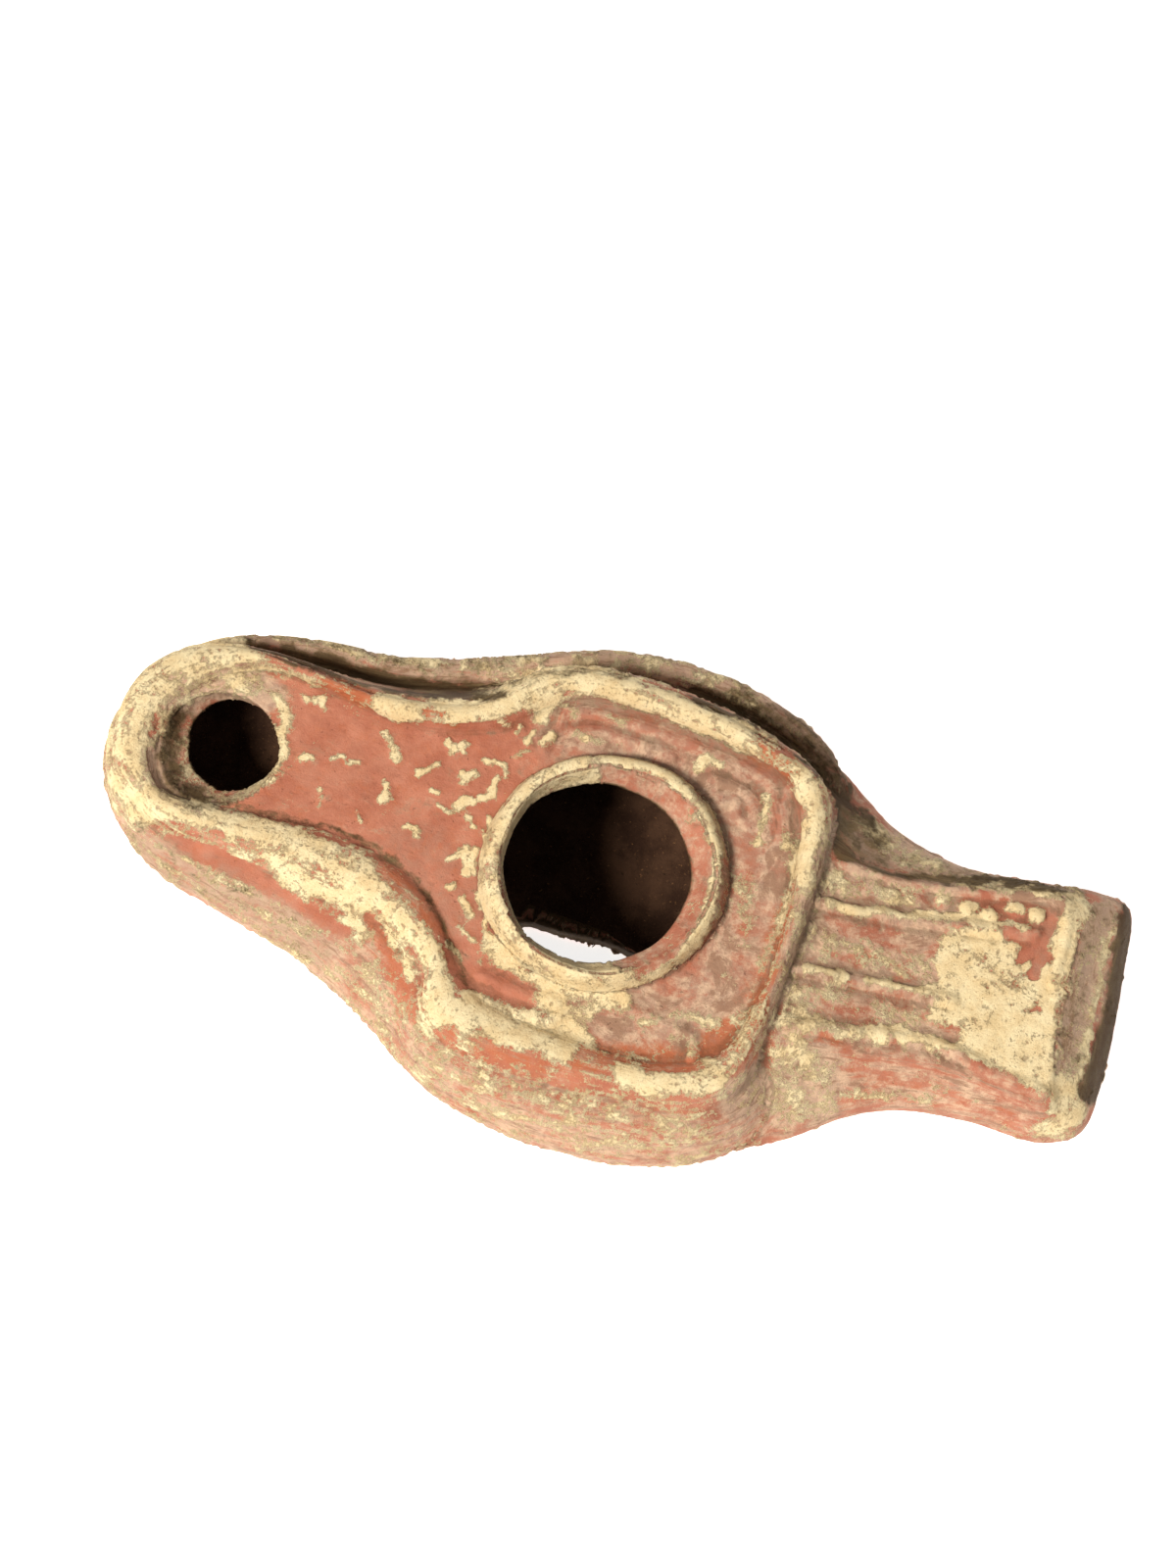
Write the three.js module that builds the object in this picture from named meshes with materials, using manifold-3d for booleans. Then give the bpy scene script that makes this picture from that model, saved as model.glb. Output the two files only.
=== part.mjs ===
// Roman oil lamp of fired clay: a round bowl with a channelled nozzle at -X, a flat lug handle
// at +X, a raised ring round the filling hole, and a hole broken through the base.
// Millimetres, +Z up. The lamp stands on its flat foot at Z = 0, and the origin is under the
// middle of its bounding box.

import * as THREE from 'three';
import { mergeVertices } from 'three/addons/utils/BufferGeometryUtils.js';
import Module from 'manifold-3d';

const wasm = await Module();
wasm.setup();

// ---- driving sizes -----------------------------------------------------------------------

const FLOOR_Z = 25;          // sunk floor of the disc and of the nozzle's channel
const RIM_Z = 25.5;          // outer edge of the raised border
const CREST_Z = 26.6;        // top of the raised border
const WALL = 3.4;            // thickness of the bowl's wall
const LID_WALL = 3;          // thickness of the disc and of the channel's floor
const BASE_WALL = 3;         // thickness of the foot
const FOOT_STEP = 1.3;       // height of the foot's upright edge
const SEAM_Z = 16.5;         // mould seam round the bowl
const SEAM_RISE = 3.3;       // how much higher the seam is at the nozzle's tip
const KEEL_RISE = 10.5;      // how much the underside rises to the nozzle's tip
const KEEL_START = -14;      // where the underside starts to rise
const TIP_X = -55.4;         // the nozzle's tip

const SEAM_RIM = { width: 2.6, height: 1.9, groove: 0.7 };
const RING = { x: -0.3, y: 0.4, foot: 12.8, crest: 11.3, top: 27.9 };
const FILL_HOLE = { x: -1.3, y: 0.05, radius: 9.7, mouthX: 0.1, mouthRadius: 11.3 };
const WICK_HOLE = { x: -41.8, y: 3, radius: 4.9, rimX: -43.2, rimY: 1.5, rimRadius: 6.3 };
const HANDLE = {
  top: 21.4, rootRise: 2.4, seam: 18, belly: 14.2, rootBelly: 15.4, under: 9.2, underRise: 2.4,
  length: 55.4,
};
const RIB = { width: 1.7, height: 0.8 };
const LINE = { width: 1.1, height: 0.5 };
const DOT = { radius: 0.75, height: 0.55 };
const SINK = 0.6;            // how far raised lines and dots reach down into the clay
const SHORTEST_EDGE = 0.05;  // edges that cuts and joins leave shorter than this are closed up

// ---- plan outlines, anticlockwise from the handle's side ------------------------------------

const SEAM_OUTLINE = [
  [26, 0], [25.4, 10], [22.6, 17.6], [18.6, 22.4], [12.6, 25.5], [2.4, 27.4], [-8.4, 26.2], [-17.4, 22.8],
  [-27.6, 19.4], [-38.4, 17.9], [-46.8, 15.4], [-53.2, 9.8], [TIP_X, 1.4], [-53.4, -5.2],
  [-47.6, -10.6], [-39, -13.2], [-29.4, -15.7], [-20.4, -20.2], [-12.4, -25.1],
  [-2.2, -27.4], [8.4, -27.1], [15.8, -25.2], [20.6, -22.2], [23.8, -17.8], [25.6, -10],
];
const BORDER_OUTLINE = [
  [21, 5], [20.3, 12.5], [18.2, 16.6], [12.6, 18.7], [4, 20.7], [-6.4, 21.3], [-11.4, 20.2],
  [-14.8, 17.4], [-18.6, 14], [-24, 12.6], [-30, 12.1], [-41, 13.2], [-48.5, 11.8],
  [-52.6, 8.1], [-54, 2.6], [-52.6, -2.6], [-48.2, -6.5], [-41, -8.4], [-31, -8.9],
  [-24.2, -9.9], [-18.6, -12], [-15.2, -15], [-14, -18.8], [-10.4, -21.4], [-1, -22.4],
  [8, -21.9], [15, -21.3], [18.8, -18], [20.1, -11],
];
const FLOOR_OUTLINE = [
  [18.8, 4], [17.7, 11], [15, 15.2], [5, 17.9], [-6.6, 18.1], [-10.8, 16.2], [-15.4, 12.2],
  [-24, 10], [-33, 11.1], [-41, 11.6], [-46.8, 8], [-49.4, 2], [-47, -4], [-40.8, -4.2],
  [-30, -3.4], [-22, -4.8], [-16, -8.2], [-11.8, -13.6], [-8.4, -16.4], [1, -17.8],
  [11, -17.4], [16.6, -14.6], [18.7, -8],
];
const SOLE_OUTLINE = [
  [15, 0], [11, 9], [0, 13], [-11, 9], [-20, 5.6], [-32, 4.8], [-43, 5], [-48, 2],
  [-43, -1], [-32, -1.4], [-20, -3.4], [-11, -9], [0, -13], [11, -9],
];
const HANDLE_OUTLINE = [
  [HANDLE.length, -2], [54.7, 8], [53.4, 15], [49.6, 15.8], [43, 14.7], [36, 13.9],
  [30.8, 14.7], [25.8, 16.6], [20.6, 20.2], [12, 19.6], [6, 0], [12, -20], [20.4, -21.8],
  [25.6, -19], [31, -15], [36.2, -12.8], [43, -12], [51, -12], [54.6, -10],
];
const HANDLE_TOP_OUTLINE = [
  [48.5, 2], [48.3, 9.7], [46, 12.5], [38, 10.9], [28, 9.4], [16, 9.4], [12, 0],
  [16, -10.8], [27, -10.4], [38, -8.8], [46, -9.4], [50.2, -9.4], [49.4, -5],
];
const BREAK_OUTLINE = [
  [-9.6, -1.7], [-10.5, -4], [-8.8, -7], [-4.6, -8.7], [-1.2, -10.5], [3.2, -9.4],
  [5.2, -7.2], [6, -3.6], [4.1, -1.8], [0.8, -1.2], [-4, -1.4],
];

// ---- raised lines and dots ------------------------------------------------------------------

const HANDLE_RIBS = [
  [[21.4, 3.7], [30.8, 5.1], [38.2, 6.4], [44.6, 7.6]],
  [[20.8, -4], [29, -2.7], [37.2, -2], [43.6, -1.4]],
  [[22.6, -9.8], [30.4, -7.8], [37.9, -6.9], [43.8, -8], [49.4, -8.7]],
];
const HANDLE_EDGE = [[23.6, 8.7], [31.8, 9.3], [39.4, 10.7], [45.6, 11.9], [47.4, 9.4], [47.5, 3]];
const HANDLE_DOTS = { from: [24.4, 6.9], to: [44.2, 9.7], count: 8 };
const DISC_LINES = [
  [[-10.2, 11.6], [-9.5, 14.4], [-7.8, 16.5], [1.5, 16.6], [12.2, 15.1], [14.4, 12.6], [14.8, 9]],
  [[15.6, 14.4], [15.9, 11.4], [16.2, 7.6]],
  [[-9.4, -13.9], [-6.4, -14.4], [-3.4, -14.7], [-1, -14.5]],
  [[-4.4, -16.7], [-1.6, -16.8], [-0.3, -15.9]],
  [[6.3, -12.8], [9.8, -13.6], [13, -13.9], [14.1, -15.2], [13.9, -16.4]],
];

// ---- finish -----------------------------------------------------------------------------------

const FIRED_CLAY = new THREE.MeshStandardMaterial({
  color: 0xcf9a76,
  roughness: 0.88,
  metalness: 0,
});

// ---- spine, rays and lofted solids --------------------------------------------------------------

const BODY_SPINE = [
  { from: [0, 0, 0], to: [0, 0, 120], steps: 26 },
  { from: [0, 0, 120], to: [-24, 1.6, 90], steps: 12 },
  { from: [-24, 1.6, 90], to: [-43, 2.4, 90], steps: 6 },
  { from: [-43, 2.4, 90], to: [-43, 2.4, 180], steps: 9 },
];
const CAVITY_SPINE = BODY_SPINE.map((leg) => ({ ...leg, steps: Math.ceil(leg.steps / 2) }));
const HANDLE_SPINE = [
  { from: [43, 1.5, 0], to: [43, 1.5, 90], steps: 10 },
  { from: [43, 1.5, 90], to: [13, 0, 90], steps: 9 },
  { from: [13, 0, 90], to: [13, 0, 180], steps: 3 },
];

const mix = THREE.MathUtils.lerp;
const ease = THREE.MathUtils.smoothstep;

/** Rays out of a spine: one side follows the legs, and the other side mirrors its angles. */
function spineRays(legs) {
  const side = [];
  legs.forEach(({ from, to, steps }, leg) => {
    for (let i = leg === 0 ? 0 : 1; i <= steps; i += 1) {
      const [x, y, angle] = from.map((value, k) => mix(value, to[k], i / steps));
      side.push({ x, y, angle: THREE.MathUtils.degToRad(angle) });
    }
  });
  const mirrored = side.slice(1, -1).reverse().map((ray) => ({ ...ray, angle: -ray.angle }));
  return [...side, ...mirrored];
}

/** Smooth closed curve through an outline's points. */
function smoothOutline(outline) {
  const points = outline.map(([x, y]) => new THREE.Vector3(x, y, 0));
  return new THREE.CatmullRomCurve3(points, true, 'centripetal').getPoints(outline.length * 12);
}

/** How far each ray runs before it leaves the outline. */
function reach(rays, outline) {
  const curve = smoothOutline(outline);
  return rays.map(({ x, y, angle }) => {
    const dx = Math.cos(angle);
    const dy = Math.sin(angle);
    let farthest = 0;
    for (let i = 0; i + 1 < curve.length; i += 1) {
      const a = curve[i];
      const b = curve[i + 1];
      const ex = b.x - a.x;
      const ey = b.y - a.y;
      const cross = dx * ey - dy * ex;
      const along = ((a.x - x) * ey - (a.y - y) * ex) / cross;
      const share = ((a.x - x) * dy - (a.y - y) * dx) / cross;
      if (share >= 0 && share <= 1 && along > farthest) farthest = along;
    }
    return farthest;
  });
}

/** One level of a loft: a point on every ray, from functions of the ray's place. */
function level(rays, distance, height) {
  return rays.map((ray, i) => {
    const d = distance(i, ray);
    const x = ray.x + Math.cos(ray.angle) * d;
    const y = ray.y + Math.sin(ray.angle) * d;
    return new THREE.Vector3(x, y, height(x, i, ray));
  });
}

/** A closed solid through levels that start and end on the spine, from the lowest upwards. */
function loft(levels) {
  const count = levels[0].length;
  const positions = levels.flat().flatMap((p) => [p.x, p.y, p.z]);
  const faces = [];
  for (let j = 0; j + 1 < levels.length; j += 1) {
    for (let i = 0; i < count; i += 1) {
      const next = (i + 1) % count;
      const [a, b, c, d] = [j * count + i, j * count + next, (j + 1) * count + next, (j + 1) * count + i];
      const flat = levels[j][i].distanceTo(levels[j + 1][next])
        <= levels[j][next].distanceTo(levels[j + 1][i]);
      faces.push(...(flat ? [a, b, c, a, c, d] : [a, b, d, b, c, d]));
    }
  }
  const geometry = new THREE.BufferGeometry();
  geometry.setAttribute('position', new THREE.Float32BufferAttribute(positions, 3));
  geometry.setIndex(faces);
  return solid(geometry);
}

/** A manifold solid from a closed geometry, with shared vertices merged and slivers dropped. */
function solid(geometry) {
  const bare = geometry.clone();
  bare.deleteAttribute('normal');
  bare.deleteAttribute('uv');
  const merged = mergeVertices(bare, 1e-4);
  const { array } = merged.index;
  const triVerts = [];
  for (let i = 0; i < array.length; i += 3) {
    const [a, b, c] = array.slice(i, i + 3);
    if (a !== b && b !== c && c !== a) triVerts.push(a, b, c);
  }
  return new wasm.Manifold(new wasm.Mesh({
    numProp: 3,
    vertProperties: new Float32Array(merged.attributes.position.array),
    triVerts: new Uint32Array(triVerts),
  }));
}

/** Triangles with every edge under SHORTEST_EDGE closed up, where that keeps the surface whole. */
function closeShortEdges(positions, triangles) {
  const point = (v) => new THREE.Vector3().fromArray(positions, v * 3);
  let faces = triangles;
  for (let pass = 0; pass < 8; pass += 1) {
    const neighbours = new Map();
    const link = (a, b) => neighbours.set(a, (neighbours.get(a) ?? new Set()).add(b));
    for (const [a, b, c] of faces) [[a, b], [b, c], [c, a]].forEach(([u, v]) => { link(u, v); link(v, u); });
    const moved = new Map();
    const touched = new Set();
    for (const [a, around] of neighbours) {
      for (const b of around) {
        if (touched.has(a) || touched.has(b)) continue;
        if (point(a).distanceTo(point(b)) > SHORTEST_EDGE) continue;
        const shared = [...around].filter((v) => neighbours.get(b).has(v));
        if (shared.length !== 2) continue;
        moved.set(b, a);
        [...around, ...neighbours.get(b)].forEach((v) => touched.add(v));
      }
    }
    if (moved.size === 0) break;
    faces = faces
      .map((face) => face.map((v) => moved.get(v) ?? v))
      .filter(([a, b, c]) => a !== b && b !== c && c !== a);
  }
  return faces;
}

/** A closed stack of circles whose centres may move, from the lowest upwards. */
function funnel(circles, sides = 40) {
  const ring = ({ x, y, z, radius }) => Array.from({ length: sides }, (_, i) => {
    const angle = (i / sides) * 2 * Math.PI;
    return new THREE.Vector3(x + radius * Math.cos(angle), y + radius * Math.sin(angle), z);
  });
  const first = circles[0];
  const last = circles[circles.length - 1];
  return loft([{ ...first, radius: 0 }, ...circles, { ...last, radius: 0 }].map(ring));
}

/** A low raised bar with sloping sides that follows a smooth line on a surface of given height. */
function raisedLine(points, { width, height }, surfaceZ) {
  const curve = new THREE.CatmullRomCurve3(points.map(([x, y]) => new THREE.Vector3(x, y, 0)));
  const steps = (points.length - 1) * 3;
  const foot = mix(width / 2, width / 4, -SINK / height);
  const section = [[-foot, -SINK], [foot, -SINK], [width / 4, height], [-width / 4, height]];
  const middle = [];
  const rings = [];
  for (let i = 0; i <= steps; i += 1) {
    const p = curve.getPoint(i / steps);
    const along = curve.getTangent(i / steps);
    const ring = section.map(([side, up]) => new THREE.Vector3(
      p.x - along.y * side,
      p.y + along.x * side,
      surfaceZ(p.x) + up,
    ));
    rings.push(ring);
    middle.push(new THREE.Vector3(p.x, p.y, surfaceZ(p.x)));
  }
  const cap = (i) => section.map(() => middle[i]);
  return loft([cap(0), ...rings, cap(steps)]);
}

/** A small dome on a level surface. */
function dot(x, y, baseZ) {
  const dome = new THREE.SphereGeometry(DOT.radius, 8, 6);
  dome.rotateX(Math.PI / 2);
  dome.scale(1, 1, DOT.height / DOT.radius);
  dome.translate(x, y, baseZ + 0.05);
  return solid(dome);
}

// ---- heights along the lamp -----------------------------------------------------------------------

/** Height of the underside: flat under the bowl, and rising along the nozzle. */
function keelZ(x) {
  const share = Math.max(0, (KEEL_START - x) / (KEEL_START - TIP_X));
  return KEEL_RISE * share ** 1.5;
}

/** Height of the mould seam, which climbs towards the nozzle's tip. */
function seamZ(x) {
  return SEAM_Z + SEAM_RISE * ease(-x, 18, 54);
}

/** Height of the handle's underside, which rises towards its end. */
function handleUnderZ(x) {
  return HANDLE.under + HANDLE.underRise * ease(x, 24, 54);
}

/** Share from 1 at the handle's root to 0 where it runs level. */
function handleRoot(x) {
  return 1 - ease(x, 20, 34);
}

/** Height of the handle's top, which rises a little to the root. */
function handleTopZ(x) {
  return HANDLE.top + HANDLE.rootRise * handleRoot(x);
}

/** Height of the foot's upright edge, which dies out under the nozzle. */
function footStep(x) {
  return FOOT_STEP * (1 - ease(-x, 6, 20));
}

/** Share from 0 to 1 at the handle's root, where the shoulder falls steeply from the border. */
function handleSide(ray) {
  return ease(Math.cos(ray.angle), 0.55, 0.9);
}

/** Share from 0 on the near side to 1 on the far side, where the seam stands up as a rim. */
function farSide(ray) {
  return ease(Math.sin(ray.angle), -0.1, 0.6);
}

// ---- the lamp's solids ------------------------------------------------------------------------------

/** Outer form of the bowl and the nozzle, with its sunk floor inside a raised border. */
function makeBody() {
  const rays = spineRays(BODY_SPINE);
  const sole = reach(rays, SOLE_OUTLINE);
  const seam = reach(rays, SEAM_OUTLINE);
  const border = reach(rays, BORDER_OUTLINE);
  const floor = reach(rays, FLOOR_OUTLINE);

  const bowl = (turn) => level(
    rays,
    (i) => mix(sole[i] + 0.4, seam[i], Math.sin(turn) ** 0.85),
    (x) => mix(keelZ(x) + footStep(x), seamZ(x), 1 - Math.cos(turn)),
  );
  // The far shoulder has a rim and a groove at its foot, and the near shoulder is one round slope.
  const shoulder = (share, rise, rimInset, rimZ) => level(
    rays,
    (i, ray) => {
      const inset = Math.min(rimInset, (seam[i] - border[i]) * share * 1.4);
      return mix(mix(seam[i], border[i], share), seam[i] - inset, farSide(ray));
    },
    (x, i, ray) => mix(
      mix(seamZ(x), RIM_Z, rise * mix(1, 0.6, handleSide(ray))),
      seamZ(x) + rimZ * Math.min(1, (seam[i] - border[i]) / 5),
      farSide(ray),
    ),
  );
  const ridge = (share, z) => level(rays, (i) => mix(border[i], floor[i], share), () => z);

  return loft([
    level(rays, () => 0, (x) => keelZ(x)),
    level(rays, (i) => sole[i], (x) => keelZ(x)),
    bowl(0),
    bowl(0.35),
    bowl(0.7),
    bowl(1.1),
    level(rays, (i) => seam[i], (x) => seamZ(x)),
    shoulder(0.1, 0.24, 0.7, SEAM_RIM.height),
    shoulder(0.26, 0.5, SEAM_RIM.width, SEAM_RIM.height + 0.2),
    shoulder(0.5, 0.76, SEAM_RIM.width + 0.7, SEAM_RIM.height - SEAM_RIM.groove),
    level(
      rays,
      (i) => mix(seam[i], border[i], 0.84),
      (x, i, ray) => mix(seamZ(x), RIM_Z, mix(0.88, 0.62, handleSide(ray))),
    ),
    ridge(0, RIM_Z),
    ridge(0.22, mix(RIM_Z, CREST_Z, 0.8)),
    ridge(0.5, CREST_Z),
    ridge(0.8, mix(FLOOR_Z, CREST_Z, 0.7)),
    ridge(1, FLOOR_Z),
    level(rays, () => 0, () => FLOOR_Z),
  ]);
}

/** Hollow of the bowl and the nozzle, a wall's thickness inside the body. */
function makeCavity() {
  const rays = spineRays(CAVITY_SPINE);
  const sole = reach(rays, SOLE_OUTLINE);
  const seam = reach(rays, SEAM_OUTLINE);
  const border = reach(rays, BORDER_OUTLINE);
  const ceiling = FLOOR_Z - LID_WALL;

  const bowl = (turn) => level(
    rays,
    (i) => mix(sole[i], seam[i], Math.sin(turn) ** 0.85) - WALL * (0.35 + 0.65 * Math.sin(turn)),
    (x) => mix(keelZ(x) + BASE_WALL, seamZ(x), 1 - Math.cos(turn)),
  );
  return loft([
    level(rays, () => 0, (x) => keelZ(x) + BASE_WALL),
    bowl(0),
    bowl(0.45),
    bowl(0.95),
    level(rays, (i) => seam[i] - WALL, (x) => seamZ(x)),
    level(
      rays,
      (i) => Math.min(seam[i] - WALL, mix(seam[i], border[i], 0.6) - WALL),
      (x) => mix(seamZ(x), ceiling, 0.6),
    ),
    level(rays, (i) => border[i] - WALL, () => ceiling),
    level(rays, () => 0, () => ceiling),
  ]);
}

/** The lug handle, whose wide root grows out of the bowl. */
function makeHandle() {
  const rays = spineRays(HANDLE_SPINE);
  const outer = reach(rays, HANDLE_OUTLINE);
  const top = reach(rays, HANDLE_TOP_OUTLINE);
  const end = (ray) => Math.max(0, Math.cos(ray.angle));

  return loft([
    level(rays, () => 0, (x) => handleUnderZ(x)),
    level(rays, (i) => outer[i] * 0.62, (x) => handleUnderZ(x)),
    level(rays, (i) => outer[i] * 0.86, (x) => handleUnderZ(x) + 1.2),
    level(rays, (i) => outer[i], (x) => mix(HANDLE.belly, HANDLE.rootBelly, handleRoot(x))),
    level(
      rays,
      (i, ray) => outer[i] - mix(0.3, 2.1, end(ray)),
      (x) => mix(HANDLE.seam, seamZ(x) + 0.6, handleRoot(x)),
    ),
    level(
      rays,
      (i) => mix(top[i], outer[i], 0.16),
      (x) => mix(mix(HANDLE.seam, seamZ(x) + 0.6, handleRoot(x)), handleTopZ(x), 0.82),
    ),
    level(rays, (i) => top[i], (x) => handleTopZ(x)),
    level(rays, () => 0, (x) => handleTopZ(x)),
  ]);
}

/** The raised ring round the filling hole. */
function makeRing() {
  const { x, y, foot, crest, top } = RING;
  const profile = [
    [0, FLOOR_Z - 1], [foot, FLOOR_Z - 1], [foot, FLOOR_Z + 0.2], [mix(foot, crest, 0.4), mix(FLOOR_Z, top, 0.6)],
    [mix(foot, crest, 0.75), mix(FLOOR_Z, top, 0.95)], [crest, top], [crest - 0.8, top - 0.1], [0, top - 0.1],
  ].map(([r, z]) => new THREE.Vector2(r, z));
  const ring = new THREE.LatheGeometry(profile, 48);
  ring.rotateX(Math.PI / 2);
  ring.translate(x, y, 0);
  return solid(ring);
}

/** The filling hole: a bevelled mouth off the ring's crest, and a straight hole into the bowl. */
function makeFillingHole() {
  const { x, y, radius, mouthX, mouthRadius } = FILL_HOLE;
  return funnel([
    { x, y, radius, z: FLOOR_Z - LID_WALL - 2 },
    { x, y, radius, z: FLOOR_Z + 0.4 },
    { x: mouthX, y, radius: mouthRadius, z: RING.top + 0.2 },
    { x: mouthX, y, radius: mouthRadius, z: RING.top + 2 },
  ]);
}

/** The wick hole: a worn dish at the nozzle's end, and a hole into the nozzle. */
function makeWickHole() {
  const { x, y, radius, rimX, rimY, rimRadius } = WICK_HOLE;
  return funnel([
    { x, y, radius, z: FLOOR_Z - LID_WALL - 2 },
    { x, y, radius, z: FLOOR_Z - 2.4 },
    { x: rimX, y: rimY, radius: rimRadius, z: FLOOR_Z + 0.2 },
    { x: rimX, y: rimY, radius: rimRadius + 0.8, z: CREST_Z + 1 },
  ], 28);
}

/** The hole broken through the foot. */
function makeBreak() {
  const shape = new THREE.Shape(BREAK_OUTLINE.map(([x, y]) => new THREE.Vector2(x, y)));
  const plug = new THREE.ExtrudeGeometry(shape, { depth: BASE_WALL + 3, bevelEnabled: false });
  plug.translate(0, 0, -1);
  return solid(plug);
}

/** Every raised line and dot on the handle and on the disc. */
function makeRelief() {
  const lines = [
    ...HANDLE_RIBS.map((rib) => raisedLine(rib, RIB, handleTopZ)),
    raisedLine(HANDLE_EDGE, LINE, handleTopZ),
    ...DISC_LINES.map((line) => raisedLine(line, LINE, () => FLOOR_Z)),
  ];
  const { from, to, count } = HANDLE_DOTS;
  for (let i = 0; i < count; i += 1) {
    const x = mix(from[0], to[0], i / (count - 1));
    const y = mix(from[1], to[1], i / (count - 1));
    lines.push(dot(x, y, handleTopZ(x)));
  }
  return lines;
}

/** The whole lamp as one solid, centred over the origin. */
function makeLamp() {
  let clay = makeBody().add(makeHandle()).add(makeRing());
  for (const piece of makeRelief()) clay = clay.add(piece);
  const cutters = [makeCavity(), makeFillingHole(), makeWickHole(), makeBreak()];
  for (const cutter of cutters) clay = clay.subtract(cutter);

  const { vertProperties, triVerts } = clay.getMesh();
  const triangles = [];
  for (let i = 0; i < triVerts.length; i += 3) triangles.push([...triVerts.slice(i, i + 3)]);
  const geometry = new THREE.BufferGeometry();
  geometry.setAttribute('position', new THREE.Float32BufferAttribute(vertProperties, 3));
  geometry.setIndex(closeShortEdges(vertProperties, triangles).flat());
  geometry.computeBoundingBox();
  const middle = geometry.boundingBox.getCenter(new THREE.Vector3());
  geometry.translate(-middle.x, -middle.y, 0);
  const lamp = new THREE.Mesh(geometry, FIRED_CLAY);
  lamp.name = 'oil_lamp';
  return lamp;
}

const model = new THREE.Group();
model.add(makeLamp());

export default model;
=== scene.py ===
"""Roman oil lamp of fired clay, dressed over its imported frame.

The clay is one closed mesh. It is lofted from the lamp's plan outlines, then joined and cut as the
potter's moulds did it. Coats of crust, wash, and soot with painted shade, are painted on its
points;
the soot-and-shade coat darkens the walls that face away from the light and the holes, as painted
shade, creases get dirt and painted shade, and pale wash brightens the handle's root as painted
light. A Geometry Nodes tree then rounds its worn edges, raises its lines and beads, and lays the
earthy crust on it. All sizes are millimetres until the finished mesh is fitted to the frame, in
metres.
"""

from __future__ import annotations

import functools
import logging
import math
from dataclasses import dataclass, field, fields
from enum import Enum
from typing import Callable, Sequence, Union

import bpy
import numpy as np
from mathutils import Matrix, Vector, noise

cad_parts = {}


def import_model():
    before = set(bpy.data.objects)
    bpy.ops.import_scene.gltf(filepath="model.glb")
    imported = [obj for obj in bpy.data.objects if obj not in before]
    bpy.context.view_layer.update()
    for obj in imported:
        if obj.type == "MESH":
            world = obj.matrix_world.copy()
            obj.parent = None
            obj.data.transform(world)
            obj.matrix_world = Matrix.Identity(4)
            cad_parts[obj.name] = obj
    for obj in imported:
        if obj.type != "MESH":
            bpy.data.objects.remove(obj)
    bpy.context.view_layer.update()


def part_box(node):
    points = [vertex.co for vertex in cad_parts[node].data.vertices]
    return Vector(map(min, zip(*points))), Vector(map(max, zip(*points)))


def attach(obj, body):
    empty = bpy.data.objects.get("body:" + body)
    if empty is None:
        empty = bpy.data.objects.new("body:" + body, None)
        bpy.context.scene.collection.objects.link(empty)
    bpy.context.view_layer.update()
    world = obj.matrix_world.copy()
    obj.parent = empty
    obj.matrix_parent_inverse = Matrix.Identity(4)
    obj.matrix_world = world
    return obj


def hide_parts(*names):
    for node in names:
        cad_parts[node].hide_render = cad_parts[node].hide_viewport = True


LOG = logging.getLogger("oil_lamp")

Point = tuple[float, float]
Place = tuple[float, float, float]
Outline = Sequence[Point]
Amount = Union[float, np.ndarray]
Colour = tuple[float, float, float, float]
Wave = tuple[float, float, float]
Stretch = tuple[float, float, float]
Socket = bpy.types.NodeSocket

MM = 0.001
CLAY_NODE = "oil_lamp"
BODY = "root"

# ---- driving sizes, millimetres ------------------------------------------------------------------

FLOOR_Z = 25.0  # the disc and the channel's floor
RIM_Z = 25.5  # the outer foot of the raised border
CREST_Z = 26.6  # the border's crest
WALL = 3.4
LID_WALL = 3.0
BASE_WALL = 3.0
FOOT_STEP = 1.3
SEAM_Z = 16.5
SEAM_RISE = 3.3
KEEL_RISE = 10.5
KEEL_START = -14.0
TIP_X = -55.4


# ---- small maths ---------------------------------------------------------------------------------


def mix(a: Amount, b: Amount, share: Amount) -> Amount:
    """Returns the value a share of the way from a to b."""
    return a + (b - a) * share


def ease(value: Amount, low: float, high: float) -> Amount:
    """Returns 0 below low, 1 above high, and a smooth step between them."""
    t = np.clip((value - low) / (high - low), 0.0, 1.0)
    return t * t * (3.0 - 2.0 * t)


def turns(sides: int) -> np.ndarray:
    """Returns the angles of a circle's points."""
    return np.linspace(0.0, 2 * math.pi, sides, endpoint=False)


def ripple(angle: np.ndarray, waves: Sequence[Wave]) -> np.ndarray:
    """Returns the sum of waves round a circle, each one (height, count, phase)."""
    return sum(height * np.sin(count * angle + phase) for height, count, phase in waves)


def srgb(red: int, green: int, blue: int) -> Colour:
    """Makes a linear colour from display values.

    Args:
        red: the red value, 0 to 255.
        green: the green value, 0 to 255.
        blue: the blue value, 0 to 255.

    Returns:
        The linear colour, with an alpha of 1.
    """
    def linear(value: int) -> float:
        """Returns one channel's linear value."""
        v = value / 255.0
        return v / 12.92 if v <= 0.04045 else ((v + 0.055) / 1.055) ** 2.4

    return linear(red), linear(green), linear(blue), 1.0


def glide(p0: Amount, p1: Amount, p2: Amount, p3: Amount, t: Amount) -> Amount:
    """Returns the point a share t from p1 to p2 on a smooth curve through four points."""
    return 0.5 * (2 * p1 + (p2 - p0) * t + (2 * p0 - 5 * p1 + 4 * p2 - p3) * t**2
                  + (3 * p1 - p0 - 3 * p2 + p3) * t**3)


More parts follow.
